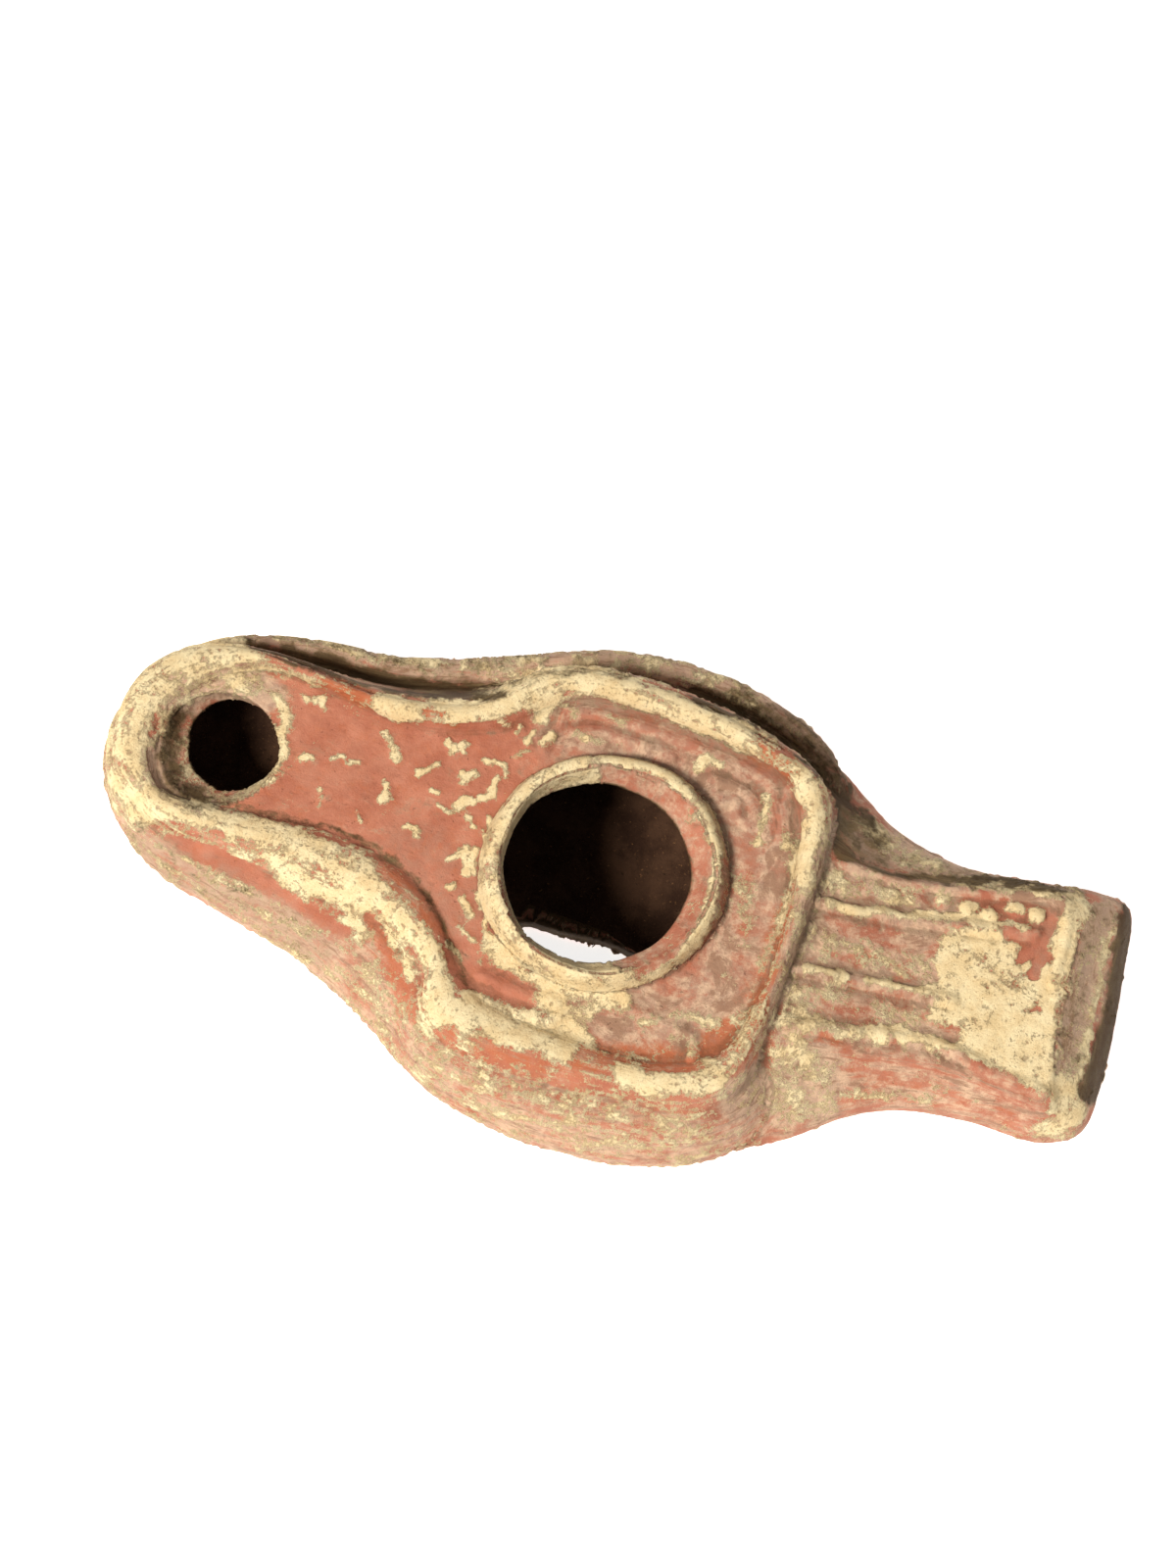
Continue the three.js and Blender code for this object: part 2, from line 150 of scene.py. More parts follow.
def smooth_outline(outline: Outline, per_span: int = 14) -> np.ndarray:
    """Draws a smooth closed curve through an outline's points.

    Args:
        outline: the points, in order round the outline.
        per_span: how many curve points lie on each span between two of them.

    Returns:
        The curve's points as an (n, 2) array, the first one repeated at the end.
    """
    points = np.array(outline, float)
    count = len(points)
    parts = []
    t = np.linspace(0.0, 1.0, per_span, endpoint=False)[:, None]
    for i in range(count):
        p0, p1, p2, p3 = (points[(i + k) % count] for k in (-1, 0, 1, 2))
        pairs = ((p0, p1), (p1, p2), (p2, p3))
        d0, d1, d2 = (math.sqrt(np.linalg.norm(b - a)) for a, b in pairs)
        leave = ((p1 - p0) / d0 - (p2 - p0) / (d0 + d1) + (p2 - p1) / d1) * d1
        arrive = ((p2 - p1) / d1 - (p3 - p1) / (d1 + d2) + (p3 - p2) / d2) * d1
        bend = -3 * p1 + 3 * p2 - 2 * leave - arrive
        twist = 2 * p1 - 2 * p2 + leave + arrive
        parts.append(p1 + leave * t + bend * t**2 + twist * t**3)
    return np.vstack([*parts, points[:1]])


def smooth_path(path: Outline, step: float = 0.5) -> np.ndarray:
    """Draws a smooth open curve through a path's points.

    Args:
        path: the points, in order along the path.
        step: about how far apart the curve's points are.

    Returns:
        The curve's points as an (n, 2) array.
    """
    points = np.array(path, float)
    if len(points) == 1:
        return points
    padded = np.vstack([2 * points[0] - points[1], points, 2 * points[-1] - points[-2]])
    parts = []
    for p0, p1, p2, p3 in zip(padded, padded[1:], padded[2:], padded[3:]):
        count = max(2, int(np.linalg.norm(p2 - p1) / step))
        t = np.linspace(0.0, 1.0, count, endpoint=False)[:, None]
        parts.append(glide(p0, p1, p2, p3, t))
    return np.vstack([*parts, points[-1:]])


# ---- meshes and their marks ----------------------------------------------------------------------


def new_object(name: str, data: bpy.types.ID) -> bpy.types.Object:
    """Puts a new object that holds the data in the scene.

    Args:
        name: the object's name.
        data: its mesh, camera or light.

    Returns:
        The new object.
    """
    made = bpy.data.objects.new(name, data)
    bpy.context.scene.collection.objects.link(made)
    return made


def new_mesh(name: str, points: list, edges: list, faces: list) -> bpy.types.Object:
    """Puts a new mesh in the scene.

    Args:
        name: the name of the object and its mesh.
        points: the points.
        edges: the edges that belong to no face.
        faces: the faces.

    Returns:
        The new object.
    """
    mesh = bpy.data.meshes.new(name)
    mesh.from_pydata(points, edges, faces)
    return new_object(name, mesh)


def read_marks(mesh: bpy.types.Mesh, name: str) -> np.ndarray:
    """Reads a float attribute of the mesh's points.

    Args:
        mesh: the mesh.
        name: the attribute's name.

    Returns:
        One value for each point.
    """
    marks = np.zeros(len(mesh.vertices), np.float32)
    mesh.attributes[name].data.foreach_get("value", marks)
    return marks


def write_marks(mesh: bpy.types.Mesh, name: str, marks: np.ndarray) -> None:
    """Keeps a value on each of the mesh's points as a new attribute."""
    made = mesh.attributes.new(name, "FLOAT", "POINT")
    made.data.foreach_set("value", marks.astype(np.float32))


def read_points(mesh: bpy.types.Mesh) -> np.ndarray:
    """Reads the mesh's points.

    Args:
        mesh: the mesh.

    Returns:
        The points as an (n, 3) array.
    """
    points = np.zeros(len(mesh.vertices) * 3, np.float32)
    mesh.vertices.foreach_get("co", points)
    return points.reshape(-1, 3)


class Cut(Enum):
    """How a second solid changes the clay."""

    JOIN = "UNION"
    TAKE = "DIFFERENCE"


def carve(clay: bpy.types.Object, other: bpy.types.Object, cut: Cut) -> None:
    """Joins the other solid to the clay or takes it away, and removes it.

    Args:
        clay: the piece to change.
        other: the solid to join or take away.
        cut: which of the two.
    """
    step = clay.modifiers.new(other.name, "BOOLEAN")
    step.operation = cut.value
    step.solver = "MANIFOLD"
    step.object = other
    bake(clay)
    bpy.data.objects.remove(other)


def bake(piece: bpy.types.Object) -> None:
    """Turns a piece with its modifiers into a plain mesh.

    Args:
        piece: the piece to change.
    """
    depsgraph = bpy.context.evaluated_depsgraph_get()
    mesh = bpy.data.meshes.new_from_object(piece.evaluated_get(depsgraph))
    piece.modifiers.clear()
    piece.data = mesh


# ---- spines, levels and lofted meshes ------------------------------------------------------------


@dataclass(frozen=True)
class Leg:
    """One stretch of a spine: a ray's foot and angle go evenly from start to end."""

    start: Place
    end: Place
    steps: int


@dataclass(frozen=True)
class Spine:
    """Rays out of a line inside the lamp, on which every level of a loft has its points."""

    foot: np.ndarray
    way: np.ndarray

    @classmethod
    def through(cls, legs: Sequence[Leg]) -> "Spine":
        """Makes the rays of one side along the legs, and mirrors their angles for the other side.

        Args:
            legs: the stretches, from the angle 0 to the angle 180 degrees.

        Returns:
            The spine, with its rays in order round the lamp, anticlockwise from above.
        """
        side = []
        for number, leg in enumerate(legs):
            shares = np.linspace(0.0, 1.0, leg.steps + 1)[0 if number == 0 else 1:, None]
            side.append(mix(np.array(leg.start), np.array(leg.end), shares))
        one = np.vstack(side)
        other = one[1:-1][::-1] * np.array([1.0, 1.0, -1.0])
        rays = np.vstack([one, other])
        angle = np.radians(rays[:, 2])
        return cls(rays[:, :2], np.stack([np.cos(angle), np.sin(angle)], 1))

    def reach(self, outline: Outline) -> np.ndarray:
        """Measures how far each ray runs before it leaves an outline.

        Args:
            outline: the outline's points, in order.

        Returns:
            One distance for each ray.
        """
        curve = smooth_outline(outline)
        start, edge = curve[:-1], np.diff(curve, axis=0)
        dx, dy = self.way[:, :1], self.way[:, 1:]
        gap_x = start[:, 0] - self.foot[:, :1]
        gap_y = start[:, 1] - self.foot[:, 1:]
        cross = dx * edge[:, 1] - dy * edge[:, 0]
        cross = np.where(np.abs(cross) < 1e-9, 1e-9, cross)
        along = (gap_x * edge[:, 1] - gap_y * edge[:, 0]) / cross
        share = (gap_x * dy - gap_y * dx) / cross
        return np.where((share >= 0) & (share <= 1), along, 0.0).max(axis=1)

    def level(self, distance: Amount, height: Callable[[np.ndarray], Amount]) -> np.ndarray:
        """Makes one level of a loft.

        Args:
            distance: how far out each ray's point lies.
            height: the height at a point, from its X.

        Returns:
            The level's points as an (n, 3) array.
        """
        out = np.reshape(np.broadcast_to(distance, len(self.foot)), (-1, 1))
        plan = self.foot + self.way * out
        z = np.broadcast_to(height(plan[:, 0]), len(plan))
        return np.column_stack([plan, z])


@dataclass(frozen=True)
class Span:
    """How a loft is drawn between two of its levels."""

    steps: int
    smooth: bool = True


def refine(levels: Sequence[np.ndarray], spans: Sequence[Span]) -> tuple[np.ndarray, np.ndarray]:
    """Draws finer levels between a loft's named levels.

    Args:
        levels: the named levels, from the lowest up.
        spans: one for each gap between two levels.

    Returns:
        The finer levels as an (m, n, 3) array, and each one's place among the named levels.
    """
    made, places = [], []
    last = len(levels) - 1
    for i, span in enumerate(spans):
        p1, p2 = levels[i], levels[i + 1]
        p0 = levels[i - 1] if i > 0 and spans[i - 1].smooth else 2 * p1 - p2
        p3 = levels[i + 2] if i + 2 <= last and spans[i + 1].smooth else 2 * p2 - p1
        for t in np.linspace(0.0, 1.0, span.steps, endpoint=False):
            made.append(glide(p0, p1, p2, p3, t) if span.smooth else mix(p1, p2, t))
            places.append(i + t)
    return np.stack([*made, levels[-1]]), np.array([*places, last], float)


def closed_mesh(name: str, levels: np.ndarray, band: Amount) -> bpy.types.Object:
    """Makes a closed mesh through levels whose first and last ones lie on the spine.

    Args:
        name: the object's name.
        levels: an (m, n, 3) array, from the lowest level up, each one anticlockwise from above.
        band: each level's place in the loft, kept on the points as the attribute "band".

    Returns:
        The new object.
    """
    rows, count = levels.shape[:2]
    rounded = np.round(levels.reshape(-1, 3), 5)
    points, index = np.unique(rounded, axis=0, return_inverse=True)
    grid = index.reshape(rows, count)
    a, b = grid[:-1], np.roll(grid[:-1], -1, axis=1)
    d, c = grid[1:], np.roll(grid[1:], -1, axis=1)
    rise = np.linalg.norm(points[a] - points[c], axis=2)
    one = rise <= np.linalg.norm(points[b] - points[d], axis=2)
    first = np.stack([a, b, np.where(one, c, d)], 2).reshape(-1, 3)
    second = np.stack([np.where(one, a, b), c, d], 2).reshape(-1, 3)
    faces = np.vstack([first, second])
    whole = np.all(faces != np.roll(faces, -1, axis=1), axis=1)
    made = new_mesh(name, points.tolist(), [], faces[whole].tolist())
    marks = np.zeros(len(points))
    marks[index.reshape(-1)] = np.repeat(np.broadcast_to(band, rows), count)
    write_marks(made.data, "band", marks)
    return made


def circle_stack(name: str, circles: Sequence[tuple[Amount, Amount, Amount, Amount]], sides: int,
                 band: float) -> bpy.types.Object:
    """Makes a closed stack of circles whose centre, radius and height may move.

    Args:
        name: the object's name.
        circles: (x, y, radius, z) of each circle, from the lowest up.
        sides: how many points a circle has.
        band: the mark that its points carry.

    Returns:
        The new object.
    """
    angle = turns(sides)
    (x0, y0, _, z0), (x1, y1, _, z1) = circles[0], circles[-1]
    closed = [(x0, y0, 0.0, np.mean(z0)), *circles, (x1, y1, 0.0, np.mean(z1))]
    levels = [np.column_stack([x + r * np.cos(angle), y + r * np.sin(angle),
                               np.broadcast_to(z, sides)]) for x, y, r, z in closed]
    return closed_mesh(name, np.stack(levels), band)


# ---- heights along the lamp ----------------------------------------------------------------------


def keel_z(x: np.ndarray) -> np.ndarray:
    """Returns the underside's height: flat under the bowl, and rising along the nozzle."""
    return KEEL_RISE * np.maximum(0.0, (KEEL_START - x) / (KEEL_START - TIP_X)) ** 1.5


def seam_z(x: np.ndarray) -> np.ndarray:
    """Returns the mould seam's height, which climbs towards the nozzle's tip."""
    return SEAM_Z + SEAM_RISE * ease(-x, 18.0, 54.0)


def foot_step(x: np.ndarray) -> np.ndarray:
    """Returns the height of the foot's upright edge, which dies out under the nozzle."""
    return FOOT_STEP * (1.0 - ease(-x, 6.0, 20.0))


class Band(Enum):
    """Marks on the clay's points that say which form they belong to, each up to the next one."""

    BODY = 0.0
    HANDLE = 20.0
    RING = 40.0
    HOLLOW = 60.0
    MOUTH = 64.0
    DISH = 68.0
    BREAK = 72.0

    def covers(self, marks: np.ndarray) -> np.ndarray:
        """Returns which marks belong to this form."""
        end = min((form.value for form in Band if form.value > self.value), default=math.inf)
        return (marks >= self.value) & (marks < end)


# ---- the clay's solids ---------------------------------------------------------------------------


@dataclass(frozen=True)
class Hole:
    """A round hole through the lid, wider below, whose lip opens to another centre and radius.

    The straight part has a circle every step up to end, and it has the hole's own radius at neck.
    The lip runs between the two heights of lip. The last circle has the radius and height of top.
    """

    name: str
    band: Band
    centre: Point
    radius: float
    lip_centre: Point
    lip_radius: float
    lip: tuple[float, float]
    lip_levels: int
    lip_curve: float
    top: tuple[float, float]
    neck: float
    widen: float
    end: float
    step: float
    sides: int
    sway: tuple[Wave, ...]

    def solid(self) -> bpy.types.Object:
        """Makes the plug that is taken out of the clay.

        Returns:
            The plug: a straight hole up to its neck, the lip, and a last circle above the clay.
        """
        sway = ripple(turns(self.sides), self.sway)
        (x, y), (lip_x, lip_y) = self.centre, self.lip_centre
        steps = [(x, y, self.radius + self.widen * (self.neck - z), z)
                 for z in np.arange(FLOOR_Z - LID_WALL - 2, self.end, self.step)]
        for share in np.linspace(0.0, 1.0, self.lip_levels):
            steps.append((mix(x, lip_x, share), mix(y, lip_y, share),
                          mix(self.radius, self.lip_radius, share),
                          mix(*self.lip, share**self.lip_curve)))
        steps.append((lip_x, lip_y, *self.top))
        circles = [(x, y, r + sway, z) for x, y, r, z in steps]
        return circle_stack(self.name, circles, self.sides, self.band.value)


@dataclass
class Bowl:
    """The bowl and nozzle: outer form, hollow, ring, holes and the broken base."""

    seam: Outline = (
        (26, 0), (25.4, 10), (22.6, 17.6), (18.6, 22.4), (12.6, 25.5), (2.4, 27.4), (-8.4, 26.2),
        (-17.4, 22.8), (-27.6, 19.4), (-38.4, 17.9), (-46.8, 15.4), (-53.2, 9.8), (TIP_X, 1.4),
        (-53.4, -5.2), (-47.6, -10.6), (-39, -13.2), (-29.4, -15.7), (-20.4, -20.2),
        (-12.4, -25.1), (-2.2, -27.4), (8.4, -27.1), (15.8, -25.2), (20.6, -22.2), (23.8, -17.8),
        (25.6, -10),
    )
    border: Outline = (
        (21, 5), (20.3, 12.5), (18.2, 16.6), (12.6, 18.7), (4, 20.7), (-6.4, 21.3), (-11.4, 20.2),
        (-14.8, 17.4), (-18.6, 14), (-24, 12.6), (-30, 12.1), (-41, 13.2), (-48.5, 11.8),
        (-52.6, 8.1), (-54, 2.6), (-52.6, -2.6), (-48.2, -6.5), (-41, -8.4), (-31, -8.9),
        (-24.2, -9.9), (-18.6, -12), (-15.2, -15), (-14, -18.8), (-10.4, -21.4), (-1, -22.4),
        (8, -21.9), (15, -21.3), (18.8, -18), (20.1, -11),
    )
    floor: Outline = (
        (18.8, 4), (17.7, 11), (15, 15.2), (5, 17.9), (-6.6, 18.1), (-10.8, 16.2), (-15.4, 12.2),
        (-24, 10), (-33, 11.1), (-41, 11.6), (-46.8, 8), (-49.4, 2), (-47, -4), (-40.8, -4.2),
        (-30, -3.4), (-22, -4.8), (-16, -8.2), (-11.8, -13.6), (-8.4, -16.4), (1, -17.8),
        (11, -17.4), (16.6, -14.6), (18.7, -8),
    )
    sole: Outline = (
        (15, 0), (11, 9), (0, 13), (-11, 9), (-20, 5.6), (-32, 4.8), (-43, 5), (-48, 2), (-43, -1),
        (-32, -1.4), (-20, -3.4), (-11, -9), (0, -13), (11, -9),
    )
    broken: Outline = (
        (-9.6, -1.7), (-10.5, -4), (-8.8, -7), (-4.6, -8.7), (-1.2, -10.5), (3.2, -9.4),
        (5.2, -7.2), (6, -3.6), (4.1, -1.8), (0.8, -1.2), (-4, -1.4),
    )
    belly_curve: float = 0.85
    shoulder_room: float = 5.0
    rim_width: float = 2.6
    rim_height: float = 1.9
    rim_groove: float = 0.7
    ring_centre: Point = (-0.3, 0.4)
    ring_foot: float = 12.8
    ring_crest: float = 11.3
    ring_top: float = 27.8
    ring_sides: int = 260
    ring_sway: tuple[Wave, ...] = ((0.16, 2, 0.7), (0.1, 5, 2.1))
    ring_lift: tuple[Wave, ...] = ((0.12, 3, 1.0), (0.06, 7, 0.0))
    mouth: Hole = Hole(
        name="mouth", band=Band.MOUTH, centre=(-1.3, 0.05), radius=9.7,
        lip_centre=(0.1, 0.05), lip_radius=11.3, lip=(FLOOR_Z + 0.4, 28.0), lip_levels=9,
        lip_curve=1.25, top=(11.3, 29.8), neck=25.3, widen=0.32, end=25.2, step=0.4, sides=260,
        sway=((0.1, 3, 0.4), (0.07, 8, 0.0)))
    dish: Hole = Hole(
        name="dish", band=Band.DISH, centre=(-41.9, 3.4), radius=5.0,
        lip_centre=(-43.2, 1.5), lip_radius=6.65, lip=(FLOOR_Z - 2.3, FLOOR_Z + 0.9),
        lip_levels=12, lip_curve=1.4, top=(7.6, CREST_Z + 1.0), neck=FLOOR_Z - 2.3, widen=0.34,
        end=FLOOR_Z - 2.4, step=0.35, sides=150,
        sway=((0.13, 3, 0.9), (0.03, 7, 0.3), (0.02, 11, 0.0)))
    break_centre: Point = (-2, -5)
    break_levels: int = 16
    break_sway: tuple[Wave, ...] = ((0.22, 1.9, 0.0), (0.16, 4.3, 1.0))

    def spine(self, fineness: float) -> Spine:
        """Makes the spine from the bowl's middle to the nozzle's.

        Args:
            fineness: the share of the finest count of rays.

        Returns:
            The spine.
        """
        middle, neck, tip = (0, 0), (-24, 1.6), (-43, 2.4)
        legs = ((middle, 0, middle, 120, 128), (middle, 120, neck, 90, 72), (neck, 90, tip, 90, 44),
                (tip, 90, tip, 180, 44))
        return Spine.through([Leg((*a, start), (*b, end), max(2, round(steps * fineness)))
                              for a, start, b, end, steps in legs])

    def outer(self) -> bpy.types.Object:
        """Makes the outer form, with its sunk floor inside the raised border.

        Returns:
            The closed mesh.
        """
        spine = self.spine(1.0)
        sole, seam, border, floor = (
            spine.reach(line) for line in (self.sole, self.seam, self.border, self.floor))
        far = ease(spine.way[:, 1], -0.1, 0.6)
        steep = ease(spine.way[:, 0], 0.55, 0.9)
        room = np.minimum(1.0, (seam - border) / self.shoulder_room)

        def bowl(turn: float) -> np.ndarray:
            """Makes a level of the wall's outer face.

            Args:
                turn: how far up it lies, from 0 at the foot to half pi at the seam.

            Returns:
                The level's points.
            """
            return spine.level(
                mix(sole + 0.4, seam, math.sin(turn) ** self.belly_curve),
                lambda x: mix(keel_z(x) + foot_step(x), seam_z(x), 1.0 - math.cos(turn)),
            )

        def shoulder(share: float, rise: float, inset: float, lift: float) -> np.ndarray:
            """Makes a level of the shoulder: a slope on the near side, the seam's rim on the far.

            Args:
                share: how far in it lies, from the seam to the border.
                rise: how far up it lies on the near side.
                inset: how far inside the seam it lies on the far side.
                lift: how far above the seam it lies on the far side.

            Returns:
                The level's points.
            """
            near = mix(seam, border, share)
            rim = seam - np.minimum(inset, (seam - border) * share * 1.4)
            return spine.level(
                mix(near, rim, far),
                lambda x: mix(mix(seam_z(x), RIM_Z, rise * mix(1.0, 0.6, steep)),
                              seam_z(x) + lift * room, far),
            )

        def ridge(share: float, z: float) -> np.ndarray:
            """Returns a level of the raised border, from its outer foot in to the floor."""
            return spine.level(mix(border, floor, share), lambda x: z)

        width, height = self.rim_width, self.rim_height
        levels = [
            spine.level(0.0, keel_z),
            spine.level(sole, keel_z),
            *(bowl(turn) for turn in (0.0, 0.35, 0.7, 1.1)),
            spine.level(seam, seam_z),
            shoulder(0.1, 0.24, 0.7, height),
            shoulder(0.26, 0.5, width, height + 0.2),
            shoulder(0.5, 0.76, width + 0.7, height - self.rim_groove),
            spine.level(mix(seam, border, 0.84),
                        lambda x: mix(seam_z(x), RIM_Z, mix(0.88, 0.62, steep))),
            ridge(0.0, RIM_Z),
            ridge(0.22, mix(RIM_Z, CREST_Z, 0.8)),
            ridge(0.5, CREST_Z),
            ridge(0.8, mix(FLOOR_Z, CREST_Z, 0.7)),
            ridge(1.0, FLOOR_Z),
            spine.level(0.0, lambda x: FLOOR_Z),
        ]
        spans = [Span(8, False), Span(2, False),
                 *(Span(steps) for steps in (4, 5, 5, 5, 4, 5, 6, 7, 5, 4, 4, 4)),
                 Span(5, False), Span(44, False)]
        fine, places = refine(levels, spans)
        return closed_mesh("clay", fine, places)

    def hollow(self) -> bpy.types.Object:
        """Makes the hollow of the bowl and nozzle, a wall's thickness inside the outer form.

        Returns:
            The closed mesh.
        """
        spine = self.spine(0.4)
        sole, seam, border = (spine.reach(line) for line in (self.sole, self.seam, self.border))
        ceiling = FLOOR_Z - LID_WALL

        def bowl(turn: float) -> np.ndarray:
            """Makes a level of the wall's inner face.

            Args:
                turn: how far up it lies, from 0 at the base to half pi at the seam.

            Returns:
                The level's points.
            """
            return spine.level(
                mix(sole, seam, math.sin(turn) ** self.belly_curve)
                - WALL * (0.35 + 0.65 * math.sin(turn)),
                lambda x: mix(keel_z(x) + BASE_WALL, seam_z(x), 1.0 - math.cos(turn)),
            )

        levels = [
            spine.level(0.0, lambda x: keel_z(x) + BASE_WALL),
            *(bowl(turn) for turn in (0.0, 0.45, 0.95)),
            spine.level(seam - WALL, seam_z),
            spine.level(np.minimum(seam, mix(seam, border, 0.6)) - WALL,
                        lambda x: mix(seam_z(x), ceiling, 0.6)),
            spine.level(border - WALL, lambda x: ceiling),
            spine.level(0.0, lambda x: ceiling),
        ]
        spans = [Span(5, False), *(Span(steps) for steps in (4, 4, 4, 3, 3)), Span(6, False)]
        fine, _ = refine(levels, spans)
        return closed_mesh("hollow", fine, Band.HOLLOW.value)

    def ring(self) -> bpy.types.Object:
        """Makes the raised ring round the filling hole, a little uneven as a hand smoothed it.

        Returns:
            The closed mesh.
        """
        angle = turns(self.ring_sides)
        sway, lift = ripple(angle, self.ring_sway), ripple(angle, self.ring_lift)
        foot, crest, top = self.ring_foot, self.ring_crest, self.ring_top
        profile = smooth_path((
            (foot + 0.1, FLOOR_Z - 1.0), (foot + 0.1, FLOOR_Z - 0.1), (foot - 0.25, FLOOR_Z + 0.9),
            (foot - 0.6, FLOOR_Z + 2.0), (mix(foot, crest, 0.7), top - 0.15), (crest, top),
            (crest - 0.7, top - 0.1),
        ), 0.28)
        circles = [(*self.ring_centre, r + sway, z + lift * ease(z, FLOOR_Z, top))
                   for r, z in profile]
        return circle_stack("ring", circles, self.ring_sides, Band.RING.value)

    def base_break(self) -> bpy.types.Object:
        """Makes the plug that is taken out of the foot where the base is broken through.

        Returns:
            The closed mesh.
        """
        spine = Spine.through([Leg((*self.break_centre, 0), (*self.break_centre, 180), 60)])
        out = spine.reach(self.broken)
        ragged = ripple(np.arange(len(out)), self.break_sway)
        heights = np.linspace(-1.0, BASE_WALL + 2.0, self.break_levels)
        levels = [spine.level(0.0, lambda x: heights[0])]
        for z in heights:
            flare = 0.12 * z + 0.18 * math.sin(2.1 * z)
            levels.append(spine.level(out + ragged + flare, lambda x, z=z: z))
        levels.append(spine.level(0.0, lambda x: heights[-1]))
        return closed_mesh("base_break", np.stack(levels), Band.BREAK.value)


@dataclass
class Handle:
    """The flat lug handle, whose wide root grows out of the bowl."""

    outline: Outline = (
        (55.4, -2), (54.7, 8), (53.4, 15), (49.6, 15.8), (43, 14.7), (36, 13.9), (30.8, 14.7),
        (25.8, 16.6), (20.6, 20.2), (12, 19.6), (6, 0), (12, -20), (20.4, -21.8), (25.6, -19),
        (31, -15), (36.2, -12.8), (43, -12), (51, -12), (54.6, -10),
    )
    top_outline: Outline = (
        (48.5, 2), (48.3, 9.7), (46, 12.5), (38, 10.9), (28, 9.4), (16, 9.4), (12, 0), (16, -10.8),
        (27, -10.4), (38, -8.8), (46, -9.4), (50.2, -9.4), (49.4, -5),
    )
    top: float = 21.4
    root_rise: float = 2.4
    root_start: float = 20.0
    root_end: float = 34.0
    seam: float = 18.0
    belly: float = 14.2
    root_belly: float = 15.4
    under: float = 9.2
    under_rise: float = 2.4

    def root(self, x: Amount) -> Amount:
        """Returns 1 at the handle's root and 0 where it runs level."""
        return 1.0 - ease(x, self.root_start, self.root_end)

    def top_z(self, x: Amount) -> Amount:
        """Returns the top's height, which rises a little to the root."""
        return self.top + self.root_rise * self.root(x)

    def seam_z(self, x: Amount) -> Amount:
        """Returns the height of the edge between the sides and the upper slope."""
        return mix(self.seam, seam_z(x) + 0.6, self.root(x))

    def solid(self) -> bpy.types.Object:
        """Makes the handle's form.

        Returns:
            The closed mesh, which runs on into the bowl.
        """
        spine = Spine.through([
            Leg((43, 1.5, 0), (43, 1.5, 90), 64),
            Leg((43, 1.5, 90), (13, 0, 90), 76),
            Leg((13, 0, 90), (13, 0, 180), 8),
        ])
        outer, top = spine.reach(self.outline), spine.reach(self.top_outline)
        end = np.maximum(0.0, spine.way[:, 0])

        def under_z(x: np.ndarray) -> np.ndarray:
            """Returns the underside's height."""
            return self.under + self.under_rise * ease(x, 24.0, 54.0)

        levels = [
            spine.level(0.0, under_z),
            spine.level(outer * 0.62, under_z),
            spine.level(outer * 0.86, lambda x: under_z(x) + 1.2),
            spine.level(outer, lambda x: mix(self.belly, self.root_belly, self.root(x))),
            spine.level(outer - mix(0.3, 2.1, end), self.seam_z),
            spine.level(mix(top, outer, 0.16), lambda x: mix(self.seam_z(x), self.top_z(x), 0.82)),
            spine.level(top, self.top_z),
            spine.level(0.0, self.top_z),
        ]
        spans = [Span(6, False), *(Span(steps) for steps in (4, 7, 7, 9, 5)), Span(30, False)]
        fine, places = refine(levels, spans)
        return closed_mesh("handle", fine, Band.HANDLE.value + places)


# ---- paint: where crust, slip and soot lie -------------------------------------------------------


class Coat(Enum):
    """The coats painted on the clay's points."""

    CRUST = "crust"
    WASH = "wash"
    ORANGE = "orange"
    PURPLE = "purple"
    # soot, and painted shade on walls that face away from the light, in holes and in cast shadows
    SOOT = "soot"


CRUST, WASH, ORANGE, PURPLE, SOOT = Coat


@dataclass(frozen=True)
class Layer:
    """Brush strokes that bring one coat towards a value, with half the brush's width."""

    coat: Coat
    value: float
    width: float
    paths: tuple[Outline, ...]
    soft: float


def lay(coat: Coat, value: float, width: float, *paths: Outline, soft: float = 1.8) -> Layer:
    """Returns a layer of strokes along paths in plan, whose edges fade over a soft width."""
    return Layer(coat, value, width, paths, soft)


